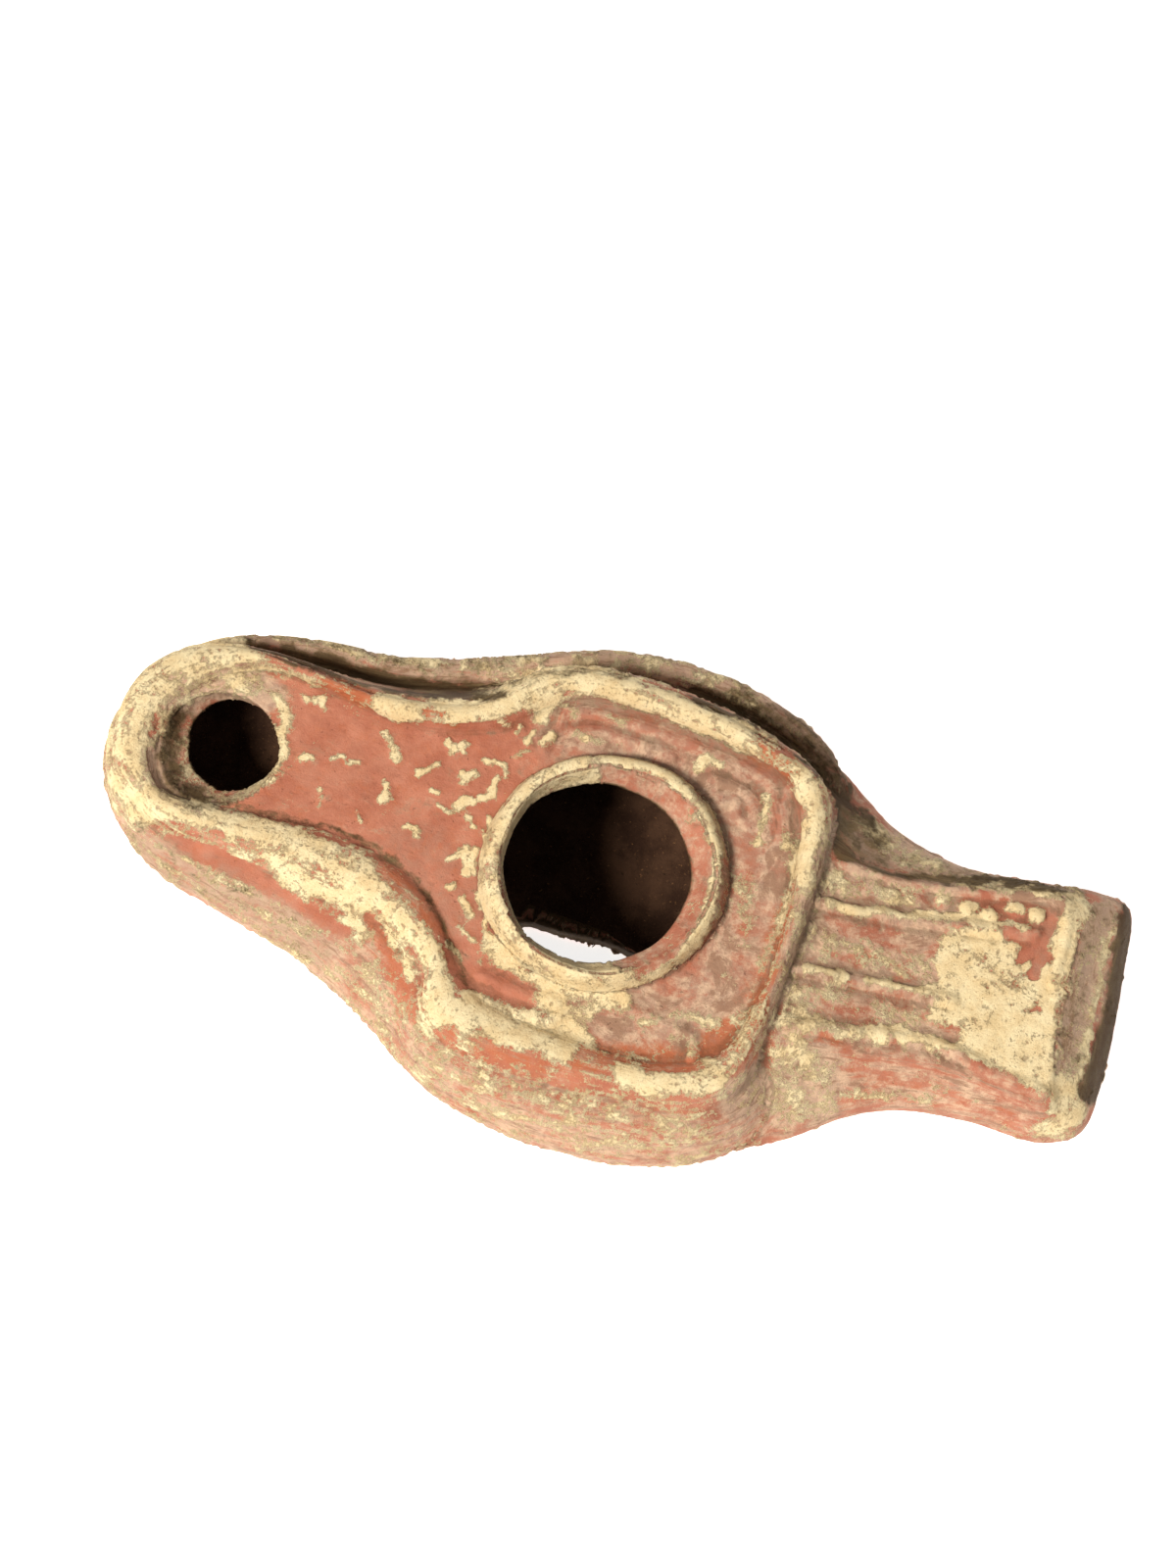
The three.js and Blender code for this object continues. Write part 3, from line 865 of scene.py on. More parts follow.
BODY_PAINT = (
    # the disc and the channel: bare slip, purple-brown on the disc, redder in the channel
    lay(PURPLE, 0.85, 4.5, ((-8, 14), (6, 15), (14, 10), (15.5, 0), (14, -10), (4, -14))),
    lay(PURPLE, 0.6, 3.0, ((-20, -3), (-15, -4), (-12, -8), (-16, -6))),
    lay(PURPLE, 0.25, 3.0, ((-27, 3), (-33, 3))),
    lay(WASH, 0.6, 4.0, ((-8, 15), (6, 15.4), (12, 12)), soft=3.0),
    lay(WASH, 0.64, 4.0, ((13, 11), (15.5, 0), (14, -10), (4, -15)), soft=3.0),
    lay(WASH, 0.3, 2.0, ((19, 12), (19, 0), (18.6, -10), (14, -18), (2, -19.5)), soft=2.0),
    # crust on the nozzle's rim
    lay(CRUST, 0.46, 2.0, ((-52.5, 0), (-52.5, 4), (-51, 8), (-47, 11.6), (-41, 12.6),
        (-35, 12.6))),
    lay(CRUST, 0.2, 1.5, ((-50.5, 1), (-49, 6), (-46, 9.5), (-41, 10.6))),
    lay(CRUST, 0.44, 1.9, ((-52.6, -1), (-50.6, -5), (-47.5, -6.6), (-43, -6.3), (-38, -6),
        (-32, -5.9), (-27, -6.4), (-23, -6.8))),
    lay(CRUST, 0.5, 0.8, ((-39.4, 9.3), (-37.8, 8), (-36.8, 6.2), (-36.6, 4), (-36.6, 2),
        (-37.1, 0))),
    lay(CRUST, 0.43, 0.35, ((-37.6, -0.8), (-38.8, -2.6), (-40.4, -3.8))),
    # the near shoulder of the nozzle
    lay(CRUST, 0.46, 0.5, ((-51, -7), (-48, -9.4), (-45, -11)), ((-44, -11.6), (-40, -12.6))),
    lay(CRUST, 0.04, 0.9, ((-46, -7.8), (-40, -7.8), (-34, -8)), soft=0.96),
    lay(CRUST, 0.3, 0.35, ((-46, -8.8), (-41, -8.8), (-36, -9)), ((-34, -8.8),
        (-31, -9)), soft=0.6),
    lay(CRUST, -0.75, 1.0, ((-44, -9.4), (-40, -9.6), (-36, -10.4), (-30, -11.6)), ((-30, -11.4),
        (-27, -12.4), (-24, -13.4)), soft=0.8),
    lay(ORANGE, 0.22, 1.2, ((-44, -9.4), (-36, -10.4), (-24, -13))),
    lay(WASH, 0.0, 1.2, ((-46, -8.4), (-36, -10.4), (-24, -13))),
    lay(WASH, 0.1, 1.4, ((-22, -10), (-16.6, -17), (-14.8, -19.6))),
    lay(CRUST, 0.56, 1.5, ((-31.5, -9.6), (-28, -10.4), (-24.5, -11)), ((-24, -10), (-22, -12.6))),
    # the far rim of the channel
    lay(CRUST, -0.6, 0.9, ((-39.5, 10.7), (-35, 10.2), (-30, 9.8))),
    lay(CRUST, 0.3, 0.9, ((-42, 12.2), (-38, 12.2), (-35, 12))),
    lay(CRUST, -0.3, 0.7, ((-33.8, 11.9), (-31, 11.6), (-28.9, 11.3)), soft=0.64),
    lay(ORANGE, 0.72, 0.9, ((-34, 11.9), (-31, 11.6), (-28.9, 11.3)), soft=0.8),
    lay(CRUST, 0.59, 1.6, ((-27.4, 11.4), (-25, 11.6), (-22.5, 12.4))),
    lay(CRUST, 0.0, 1.0, ((-22.5, 11.7), (-20.5, 11.6)), soft=0.8),
    lay(ORANGE, 0.65, 1.0, ((-22.8, 11.7), (-20.3, 11.9)), soft=0.96),
    lay(CRUST, 0.59, 1.8, ((-20.5, 13.4), (-17.5, 14.4), (-14.5, 16.4), (-12.4, 18.2))),
    lay(CRUST, 0.59, 1.5, ((-13, 17), (-11, 19.2), (-6, 19.9), (0, 19.7), (5, 19.1), (9, 18.6))),
    lay(CRUST, 0.56, 1.0, ((-11.5, 14.6), (-10.8, 16.8))),
    # the near rim: cream where it turns from the nozzle to the bowl
    lay(CRUST, 0.5, 1.6, ((-24.5, -6.8), (-23.5, -9), (-22, -11))),
    lay(CRUST, -0.5, 0.8, ((-22.5, -5.9), (-19.5, -7), (-17.3, -9), (-16, -10.6))),
    lay(ORANGE, 0.5, 1.2, ((-22.5, -6.4), (-18.6, -8.4), (-16, -11))),
    lay(CRUST, 0.53, 1.1, ((-20.6, -9.4), (-17, -11.6), (-14.4, -14.4))),
    lay(CRUST, -0.5, 0.9, ((-22, -11.4), (-19, -14), (-16.6, -17), (-14.8, -19.6)), soft=0.96),
    lay(ORANGE, 0.4, 1.3, ((-22, -11.4), (-16.6, -17), (-14.8, -19.6))),
    lay(CRUST, 0.53, 0.5, ((-20.6, -11.4), (-18, -13.6), (-16, -16))),
    lay(CRUST, 0.56, 1.3, ((-13.2, -16.6), (-12.6, -19.4), (-11.8, -20.2))),
    lay(CRUST, 0.66, 1.7, ((-10.6, -18.2), (-6, -18.8), (0, -18.6), (3, -18.4))),
    lay(CRUST, -0.16, 1.1, ((-10.8, -21), (-6, -21.4), (0, -21.6), (5, -21.2)), soft=0.8),
    lay(ORANGE, 0.4, 1.2, ((-10.8, -21), (-5, -21.5), (3, -21.4))),
    lay(CRUST, 0.5, 0.4, ((-9.8, -20.6), (-8, -22.2), (-6, -23.2))),
    lay(CRUST, -0.3, 1.0, ((3, -19.2), (8, -17.6), (12.6, -16.6), (16, -12.6), (17.6, -8))),
    lay(ORANGE, 0.54, 1.6, ((3, -19.2), (8, -17.6), (13, -16.6), (16.6, -12.6), (18, -8))),
    lay(CRUST, 0.62, 1.2, ((8, -19.6), (13, -19.6), (16.8, -18.2))),
    lay(CRUST, 0.3, 0.8, ((14, -16), (16.6, -16), (18.4, -13), (18.6, -9))),
    lay(CRUST, 0.37, 0.6, ((10.6, -12.4), (13.8, -12.2), (18.6, -11)), ((15.2, -7), (16, -7.4))),
    # the right rim
    lay(CRUST, 0.66, 1.2, ((16.9, 15.4), (18.6, 13), (19, 9), (19.2, 5.6))),
    lay(CRUST, 0.1, 0.9, ((10.6, 17.8), (13, 17.4), (15.6, 16.8)), soft=0.8),
    lay(ORANGE, 0.65, 1.1, ((10.6, 17.8), (13, 17.4), (16, 16.6))),
    lay(CRUST, 0.1, 0.9, ((19.2, 4.4), (18.9, 1), (18.6, -3), (18.6, -8), (18.8, -12))),
    lay(WASH, 0.5, 1.0, ((18, 12), (17.6, 4), (17.4, -4), (17.4, -10))),
    lay(ORANGE, 0.55, 1.2, ((19.2, 4.4), (18.8, -2), (18.6, -8), (18.4, -13))),
    # between the ring and the near rim
    lay(CRUST, 0.5, 1.5, ((-9.4, -10.4), (-6, -12), (0, -12.8), (5, -12.6))),
    lay(CRUST, -0.45, 0.6, ((-9.4, -12.9), (-6, -13.9), (-2, -14.6)), soft=0.64),
    lay(CRUST, 0.5, 1.5, ((-9.4, -17), (-3, -17.2), (1.6, -16.6)), ((-2, -14.8), (2, -14.6))),
    lay(CRUST, -0.3, 0.5, ((-9, -15.2), (-6, -15.6), (-3.8, -16.2)), soft=0.64),
    lay(CRUST, 0.31, 0.45, ((5.6, -13.4), (7.6, -14), (9.8, -13.4)), ((8.4, -15), (10.2, -16)),
        ((11, -14.6), (13.4, -14.4))),
    # flecks on the channel
    lay(CRUST, 0.62, 0.3, ((-29.4, 3.8), (-28.5, 4.8)), ((-31.6, 0.2), (-31, 0), (-30.9, -1.2)),
        ((-35, 9.6), (-34, 9.7), (-33.5, 9)), ((-34, 3.4), (-33.2, 3.5)), ((-31, 4.3),
        (-30.2, 4.4)), ((-36.2, 9.7), (-35.8, 9.4)), ((-26.6, -1), (-26.1, -1.6)), soft=0.72),
    lay(CRUST, 0.68, 0.42, ((-26.4, 8.2), (-25.8, 7.4), (-25.3, 6.6)), ((-24.9, 6), (-24.4, 5.7)),
        ((-25, 3.2), (-24.5, 2.4), (-24.6, 1.6)), ((-24.6, 1.2), (-24.1, 1.5)), ((-22.2, 5),
        (-20.4, 6.4)), ((-21.8, -1), (-20.6, -0.8), (-20.2, -1.8)), soft=0.8),
    # flecks beside the ring
    lay(CRUST, 0.68, 0.45, ((-19.4, 8), (-18.4, 9.4)), ((-20, 9.2), (-18, 8.8)), ((-15.6, 8),
        (-14, 8.3)), ((-17.4, 6.4), (-16.8, 5.2)), ((-16.6, 6), (-16, 6.6)), ((-20, 3.8),
        (-19.2, 3.6)), ((-19, 2.2), (-17, 1.9), (-16.4, 3.2)), ((-17, 2.8), (-15.4, 3.4)),
        ((-15.8, 1.8), (-15, 1)), ((-14.2, 6.6), (-13.8, 5.4)), ((-14.8, 4.2), (-13.6, 4.8)),
        ((-13.4, 8.6), (-13, 7.4)), ((-15.4, -1.6), (-13.8, -3.4)), ((-16, -3.2), (-15, -1.4)),
        ((-14, -1.2), (-13.8, -4)), ((-15.4, -5.6), (-15, -5.4)), ((-13.8, 0.8), (-12.6, 0)),
        ((-13.2, 2.4), (-12.6, 1.4)), soft=0.8),
    lay(CRUST, 0.58, 0.4, ((-13.4, -6.6), (-12.2, -8.6)), ((-12, -5.4), (-11.6, -7.4)),
        ((-12.6, -9.4), (-11.4, -10.8)), ((-10.8, -8), (-10, -9.8)), ((-12, 11.4), (-11.6, 12.6)),
        ((-13.6, 12), (-13.2, 12.8)), ((-10, 11.6), (-9.6, 13)), ((-15.4, 13.2), (-14.6, 12.6)),
        ((-12.8, 9.8), (-11.8, 10.4)), ((-13.6, -11.6), (-12, -13)), soft=0.8),
    # remains on the disc's far side
    lay(CRUST, 0.37, 0.7, ((-9, 16.8), (-8.4, 16.2)), ((-7.2, 14), (-5, 13.6)), ((-4.8, 16.4),
        (-3, 16.4))),
    lay(CRUST, 0.37, 0.7, ((6, 14), (6.6, 15.2), (8, 15)), ((13.6, 13), (14, 11),
        (14, 8)), soft=0.7),
    lay(CRUST, 0.46, 0.6, ((16.8, 9.4), (17, 8.4))),
    lay(CRUST, -0.15, 1.6, ((13.6, 4), (14.4, 0), (15, -2.4)), soft=1.2),
    # the shoulder: dusty, streaked, and darker low on the nozzle
    lay(CRUST, 0.0, 2.6, ((-20, -18), (-12, -24), (-2, -25.6), (8, -25), (16, -22.4))),
    # dirt and painted shade: the far groove, the root of the handle and the nozzle's dish
    # painted shade: the far groove faces away from the light
    lay(CRUST, -0.7, 1.2, ((-42, 14.3), (-36, 13.9), (-30, 13.7), (-25, 14), (-20, 15))),
    lay(SOOT, 0.95, 1.15, ((-43, 14.3), (-40, 14.1), (-35, 13.9), (-30, 13.7), (-25, 14.1),
        (-20, 15), (-17, 16)), soft=1.2),
    # painted shade along the far rim and in the far corner by the handle, which face away from the
    # light
    lay(SOOT, 0.5, 0.6, ((-18, 15.8), (-15, 17.4), (-12.6, 19.2), (-8, 21), (-3, 21.8)), soft=1.2),
    lay(CRUST, 0.31, 0.7, ((-44, 14.6), (-38, 16), (-30, 16.2), (-24, 16.8))),
    lay(SOOT, 0.86, 1.7, ((4, 22), (11, 21.3), (16, 19.6), (20, 17), (23, 14), (25, 12)), soft=1.5),
    lay(CRUST, 0.16, 1.1, ((-20, 18.2), (-15, 20), (-10, 22.2), (-5, 23.3), (0, 23.8), (5, 23.6),
        (9, 23)), soft=1.2),
    lay(CRUST, -0.9, 0.5, ((-12.2, 21), (-11, 21.6)), ((-7.2, 22.6), (-6.4, 22.8)), ((1, 23.8),
        (2, 23.8)), ((5.6, 23.4), (6.2, 23.4)), soft=0.6),
    lay(SOOT, 0.38, 1.1, ((-20, 18.2), (-10, 22.2), (-2, 23.6), (5, 23.6), (9, 23)), soft=1.6),
    lay(SOOT, 0.62, 1.3, ((8, 22.6), (14, 20.8), (18, 18.8), (20.6, 16.8)), soft=1.6),
    lay(WASH, 0.95, 1.6, ((-26, 17), (-18, 19), (-10, 22.4), (0, 24), (10, 22.8), (18, 19))),
    # painted shade on the dish's left wall, which lies in the nozzle rim's shadow
    lay(SOOT, 0.72, 1.3, ((-47.8, 4), (-48, 2), (-47.6, -1), (-45.6, -3.4), (-43, -4)), soft=1.8),
    # painted shade, more of it low in the far groove
    lay(SOOT, 0.42, 1.2, ((-43, 15), (-36, 16), (-28, 16.2), (-20, 17.4)), soft=1.6),
    lay(WASH, 1.0, 1.2, ((-43, 15), (-36, 16), (-28, 16.4), (-21, 17.6)), soft=1.6),
    lay(SOOT, 0.34, 2.2, ((-48, -9.6), (-42, -12.4), (-34, -13.4), (-26, -16)), soft=2.4),
    lay(CRUST, -0.12, 1.6, ((-48, -10.4), (-40, -13), (-32, -14.4), (-24, -17))),
    lay(PURPLE, 1.0, 2.2, ((-46, -11), (-36, -13), (-26, -15.6))),
    lay(WASH, 0.6, 1.2, ((-44, -12.4), (-36, -13.4), (-28, -15.4))),
    lay(WASH, 0.75, 1.6, ((-48, -10), (-42, -12.6), (-34, -13.6), (-26, -16)), soft=1.8),
    # painted shadow: a dark line inside the near border, where the border shades the channel's
    # floor
    lay(SOOT, 0.6, 0.5, ((-41, -3.6), (-36, -3.6), (-30, -3.3), (-24, -4), (-19, -6), (-16, -8.4),
        (-12.6, -12.6), (-10.8, -15.2)), soft=0.7),
    lay(WASH, 1.0, 2.2, ((-49, 6), (-46.4, 8.8), (-42, 9.4), (-40, 8.6)), ((-49.5, -1),
        (-47.6, -4.6), (-43, -5))),
    lay(CRUST, 0.2, 1.3, ((-47.4, 7.4), (-45, 9), (-41, 9.4))),
    lay(WASH, 1.0, 2.2, ((21.6, 10), (22, 2), (22, -6), (22.6, -14), (20, -19)), ((25, -13),
        (24, -17))),
)

HANDLE_PAINT = (
    lay(CRUST, 0.59, 2.6, ((38, 2), (46, 2.4)), ((38.6, -1.6), (47, -3.4)), ((42, -4.6),
        (49.4, -6.6)), ((39, 4), (42, 4.2)), soft=0.8),
    lay(CRUST, 0.59, 1.2, ((36, 4.2), (41, 4.6)), ((47.7, 11.8), (47.8, 7), (48.2, 1), (49.2, -6))),
    lay(CRUST, 0.56, 1.3, ((50, -10.6), (51.4, -9.4), (51.6, -7.4))),
    lay(CRUST, 0.5, 0.7, ((35.6, 10.9), (41, 12), (47, 12.6))),
    lay(CRUST, 0.72, 0.5, ((22.6, 4.5), (30, 5.6), (36, 6.9), (43.4, 8)), soft=0.7),
    lay(CRUST, 0.72, 0.5, ((22.4, -2.8), (26.4, -2.7)), ((29, -2.2), (36.6, -1.6)), soft=0.7),
    lay(CRUST, 0.72, 0.6, ((30.6, -7.2), (32, -8)), ((31.6, -6.8), (40, -6.4), (44, -7.4),
        (49.6, -8.6)), soft=0.8),
    lay(CRUST, 0.56, 0.5, ((34.1, 8), (34.2, 8.5)), ((28.6, 7), (28.8, 7.4))),
    lay(CRUST, 0.59, 0.75, ((36.6, 8.4), (37, 8.4)), ((38.9, 8.1), (39.5, 8.7)), ((41.6, 9.7),
        (42, 9.8)), ((43.9, 9.6), (44.4, 9.6)), soft=0.8),
    lay(CRUST, -0.9, 0.55, ((41.6, 11), (46, 11.2)), ((45.8, 11), (45.5, 7), (45.4, 3.4)),
        ((41.6, 6.6), (44.4, 6.6), (43.6, 4.8)), soft=0.64),
    lay(PURPLE, 0.9, 0.7, ((42, 11), (46, 11.2), (45.6, 3.6))),
    lay(CRUST, 0.31, 0.5, ((24.2, 0.6), (24.6, -1)), ((30.6, 1.6), (32.4, 1.2), (32.6, -0.2)),
        ((34, 0.8), (34.6, 1)), ((32, -5), (32.4, -5.4)), ((34.2, -4), (34.6, -4.6)), ((36.2, -4),
        (37.4, -3.6))),
    lay(CRUST, 0.3, 0.7, ((21.6, -5.6), (23.4, -6.4)), ((22, -8.6), (26, -8.2), (30, -8))),
    lay(WASH, 0.72, 3.5, ((24, 7), (33, 7)), ((24, 0), (36, 0)), ((26, -6), (38, -8)), soft=2.5),
    lay(CRUST, 0.06, 1.2, ((23, 7), (30, 8)), ((23.6, 0.6), (33, 1)), ((24, -5), (34, -4.6))),
    lay(PURPLE, 0.3, 2.6, ((25, 8.4), (33, 9)), ((27, 1.6), (33, 2)), ((26, -5), (36, -4))),
    lay(ORANGE, 0.43, 0.9, ((26, -2.6), (28.8, -2.4)), ((25, -9), (31, -8.6)), ((29, 0.4),
        (31.6, 0.6))),
    lay(ORANGE, 0.3, 1.6, ((29, -13), (38, -12.4), (46, -12))),
    lay(WASH, 0.55, 2.6, ((29, -12), (38, -11), (48, -11)), soft=2.0),
    lay(PURPLE, 0.5, 1.6, ((32, -10.6), (40, -9.6), (48, -10))),
    lay(CRUST, -0.55, 1.7, ((30, -11.4), (38, -10), (45, -9.8), (49, -10.4))),
    lay(CRUST, 0.4, 0.5, ((28, -15), (33, -13.6), (38, -12.6))),
    lay(WASH, 0.9, 2.6, ((23.6, -10.6), (25, -14), (23, -18)), ((27, -12.6), (27, -16))),
    lay(CRUST, 0.04, 2.4, ((23, -12), (24, -15), (23, -18)), ((26, -13), (27, -16))),
    # painted light: pale wash and crust brighten the handle's root, against the shade below the
    # border's step
    lay(WASH, 1.0, 1.2, ((21.6, 8), (21.4, 0), (21.6, -6))),
    lay(CRUST, 0.16, 0.8, ((21, 9), (20.9, 0), (21, -9))),
    lay(WASH, 1.0, 1.8, ((24, 13), (30, 12), (38, 12), (46, 13.4))),
    lay(CRUST, 0.14, 1.0, ((25, 13.6), (29, 12), (33, 11.6))),
    # painted shade along the handle's far edge and slope, which face away from the light
    lay(SOOT, 0.42, 1.5, ((24, 12.8), (29, 11.4), (35, 11.4), (43, 12.9), (47, 13.6)), soft=1.6),
    # painted shadow: a thin dark line that the raised edge line casts on its far side
    lay(SOOT, 0.95, 0.35, ((24, 10), (29, 9.8), (34, 10.6), (40, 12.2), (46, 13)), soft=0.8),
    # painted shade in the far corner where the handle meets the bowl
    lay(SOOT, 1.3, 1.9, ((18, 18), (21, 15.4), (23.4, 13.8)), ((21.4, 12.6), (22.8, 11.6))),
    lay(SOOT, 0.6, 1.2, ((22, 15), (26, 12.6)), ((22, 12), (26, 10.6)), soft=2.4),
    lay(PURPLE, 0.8, 1.6, ((50.4, 12), (50, 7), (50.4, 1), (51.2, -5))),
    lay(CRUST, -0.12, 1.4, ((50.6, 12), (50.2, 7), (50.4, 1), (51, -4.6))),
    # painted shade on the end face, which faces away from the light
    lay(SOOT, 0.42, 1.6, ((50.4, 12), (50, 7), (50.4, 1), (51, -5))),
    lay(WASH, 1.1, 1.6, ((50.8, 12), (50.6, 7), (50.8, 1), (51.2, -5))),
    lay(CRUST, 0.4, 0.4, ((52, 12), (52, 6), (52.4, -2), (52.6, -8)), soft=0.8),
    lay(CRUST, 0.5, 0.9, ((50.6, -12), (52.6, -11.4), (53.4, -9.4))),
    # painted shadow on the handle's lower end, under its seam
    lay(SOOT, 1.0, 1.4, ((53.6, 13.4), (54.3, 5), (54.5, -2), (54.3, -7)), soft=1.2),
)

RING_PAINT = (
    lay(WASH, 0.5, 4.0, ((11, 0), (8, 8), (0, 11.6), (-8, 8), (-11, 0), (-8, -8), (0, -11),
        (8, -8))),
    lay(CRUST, 0.5, 2.2, ((-3, 12.4), (-6, 11), (-9.6, 7.6), (-11.6, 3), (-11.8, -2), (-10, -6.6),
        (-7, -10), (-2, -11.6), (3, -11.6))),
    lay(CRUST, 0.53, 0.8, ((-2, 12.6), (3, 12.2), (7.4, 9.6), (10, 5.6), (10.9, 1), (10.7, -3.4),
        (8.8, -7.4), (5.4, -10.6), (2, -11.8))),
    lay(CRUST, -0.4, 0.8, ((-3, 10.8), (2, 11), (6, 9.2), (8.6, 6), (9.7, 2), (9.8, -2), (8.4, -6),
        (6, -8.8)), soft=0.64),
    lay(CRUST, 0.2, 0.7, ((-10.2, -9), (-9.2, -10)), ((-12, -1), (-12.8, 0.6))),
    # painted shadow that the ring casts on the disc beside its right and far side
    lay(SOOT, 0.5, 0.5, ((0, 14), (7, 12), (11.6, 7), (12.8, 1), (12.2, -4), (9.6, -9))),
)

# what each coat is before any stroke: all over, then between two marks of the clay's points
GROUND: dict[Coat, tuple[float, tuple[Stretch, ...]]] = {
    CRUST: (-0.55, (
        (0.0, 2.5, -0.1), (2.5, 6.3, -0.16), (6.3, 10.6, -0.24), (10.6, 14.0, -0.1),
        (14.0, 17.0, -0.78), (20.0, 40.0, -0.42), (40.0, 60.0, -0.3), (60.0, 64.0, -0.4),
        (64.0, 68.0, -0.5), (68.0, 72.0, -0.15), (72.0, 80.0, -0.9),
    )),
    WASH: (0.12, (
        (0.0, 5.0, 0.45), (5.0, 10.4, 0.62), (10.4, 14.0, 0.3), (20.0, 40.0, 0.22),
        (20.0, 24.2, 0.5), (68.0, 72.0, 0.5),
    )),
    ORANGE: (0.2, ()),
    PURPLE: (0.12, ()),
    # the hollow and the broken base's edges: soot, darkened further as painted shade where they lie
    # in shadow
    SOOT: (0.0, ((60.0, 64.0, 1.0), (72.0, 80.0, 1.0))),
}


@dataclass
class Painter:
    """Paints coats on the clay's points, from strokes drawn on a level plane over the lamp.

    A stroke lies where somebody in front of the lamp sees it from above, so it falls a little
    further back on a surface that lies lower, and it takes only where the clay faces that way.
    """

    eye: Place = (34.1, -110.4, 423.7)
    body_plane: float = RIM_Z
    handle_plane: float = 21.5
    grazing: float = 0.16
    seed: int = 7  # keeps the sway the same in each run
    broad_sway: Point = (0.55, 0.55)
    fine_sway: Point = (1.7, 0.22)
    path_step: float = 0.6
    margin: float = 5.0
    out_of_reach: float = 9.0
    under_soot: float = 0.18
    hole_soot: float = 1.1
    mouth_soot: Point = (FLOOR_Z - 0.3, FLOOR_Z + 1.1)
    dish_soot: Point = (FLOOR_Z - 2.6, FLOOR_Z - 2.0)

    def sway(self, point: np.ndarray) -> Vector:
        """Returns how far the strokes stray at a point, the sum of a broad and a fine sway."""
        return sum((noise.noise_vector(Vector(point) * scale) * amount
                    for scale, amount in (self.broad_sway, self.fine_sway)), Vector())

    def plan(self, points: np.ndarray, plane: float) -> np.ndarray:
        """Finds where each point shows on a level plane.

        Args:
            points: the points.
            plane: the plane's height.

        Returns:
            The places as an (n, 2) array.
        """
        eye = np.array(self.eye)
        share = (plane - points[:, 2]) / (eye[2] - points[:, 2])
        sway = np.array([self.sway(point) for point in points])
        return points[:, :2] + (eye[:2] - points[:, :2]) * share[:, None] + sway[:, :2]

    def distance(self, plan: np.ndarray, path: Outline) -> np.ndarray:
        """Measures how far places in plan lie from a smooth path.

        Args:
            plan: the places.
            path: the path's points.

        Returns:
            The distances, or one out of every brush's reach beyond the path's surroundings.
        """
        line = smooth_path(path, self.path_step)
        low, high = line.min(0) - self.margin, line.max(0) + self.margin
        near = np.all((plan > low) & (plan < high), axis=1)
        found = np.full(len(plan), self.out_of_reach)
        close = plan[near]
        best = np.full(len(close), self.out_of_reach**2)
        for a, b in zip(line, line[1:]):
            run = b - a
            t = np.clip(((close - a) @ run) / max(1e-9, run @ run), 0.0, 1.0)
            best = np.minimum(best, ((close - a - t[:, None] * run) ** 2).sum(1))
        found[near] = np.sqrt(best)
        return found

    def apply(self, coats: dict[Coat, np.ndarray], where: np.ndarray, plan: np.ndarray,
              layers: Sequence[Layer]) -> None:
        """Paints layers over the coats in order.

        Args:
            coats: the coats to change.
            where: 0 to 1, how well paint takes on each point.
            plan: each point's place in plan.
            layers: the layers, from the first one painted.
        """
        for layer in layers:
            inner, outer = layer.width - layer.soft / 2, layer.width + layer.soft / 2
            for path in layer.paths:
                cover = where * (1.0 - ease(self.distance(plan, path), inner, outer))
                coats[layer.coat] = mix(coats[layer.coat], layer.value, cover)

    def paint(self, mesh: bpy.types.Mesh) -> None:
        """Paints all the coats and keeps them as attributes of the mesh's points.

        Args:
            mesh: the clay's mesh, with its marks.
        """
        noise.seed_set(self.seed)
        points = read_points(mesh)
        band = read_marks(mesh, "band")
        normal = np.zeros(len(points) * 3, np.float32)
        mesh.vertex_normals.foreach_get("vector", normal)
        towards = np.array(self.eye) - points
        towards /= np.linalg.norm(towards, axis=1)[:, None]
        takes = ease((normal.reshape(-1, 3) * towards).sum(1), 0.0, self.grazing)
        handle = Band.HANDLE.covers(band)
        ring = Band.RING.covers(band) | Band.MOUTH.covers(band)
        coats = self.ground(points, band)
        over_body = self.plan(points, self.body_plane)
        self.apply(coats, takes * (~handle & ~ring), over_body, BODY_PAINT)
        self.apply(coats, takes * handle, self.plan(points, self.handle_plane), HANDLE_PAINT)
        self.apply(coats, takes * ring, over_body, RING_PAINT)
        for coat, values in coats.items():
            write_marks(mesh, coat.value, values)

    def ground(self, points: np.ndarray, band: np.ndarray) -> dict[Coat, np.ndarray]:
        """Makes the coats before any stroke: what each form of the lamp wears all over.

        Args:
            points: the points.
            band: the points' marks.

        Returns:
            The value of each coat on each point.
        """
        coats = {}
        for coat, (all_over, stretches) in GROUND.items():
            coats[coat] = np.full(len(points), all_over)
            for low, high, value in stretches:
                coats[coat][(band >= low) & (band < high)] = value
        z, soot = points[:, 2], coats[SOOT]
        # darker towards the bottom of the lamp
        soot += self.under_soot * ease(-z, -6.0, 0.0) * (band < Band.RING.value)
        # the walls of the mouth and the dish: soot, and painted shade that deepens down the holes
        for form, (low, high) in ((Band.MOUTH, self.mouth_soot), (Band.DISH, self.dish_soot)):
            hole = form.covers(band)
            soot[hole] = self.hole_soot * (1.0 - ease(z[hole], low, high))
        return coats


# ---- drawing node trees --------------------------------------------------------------------------


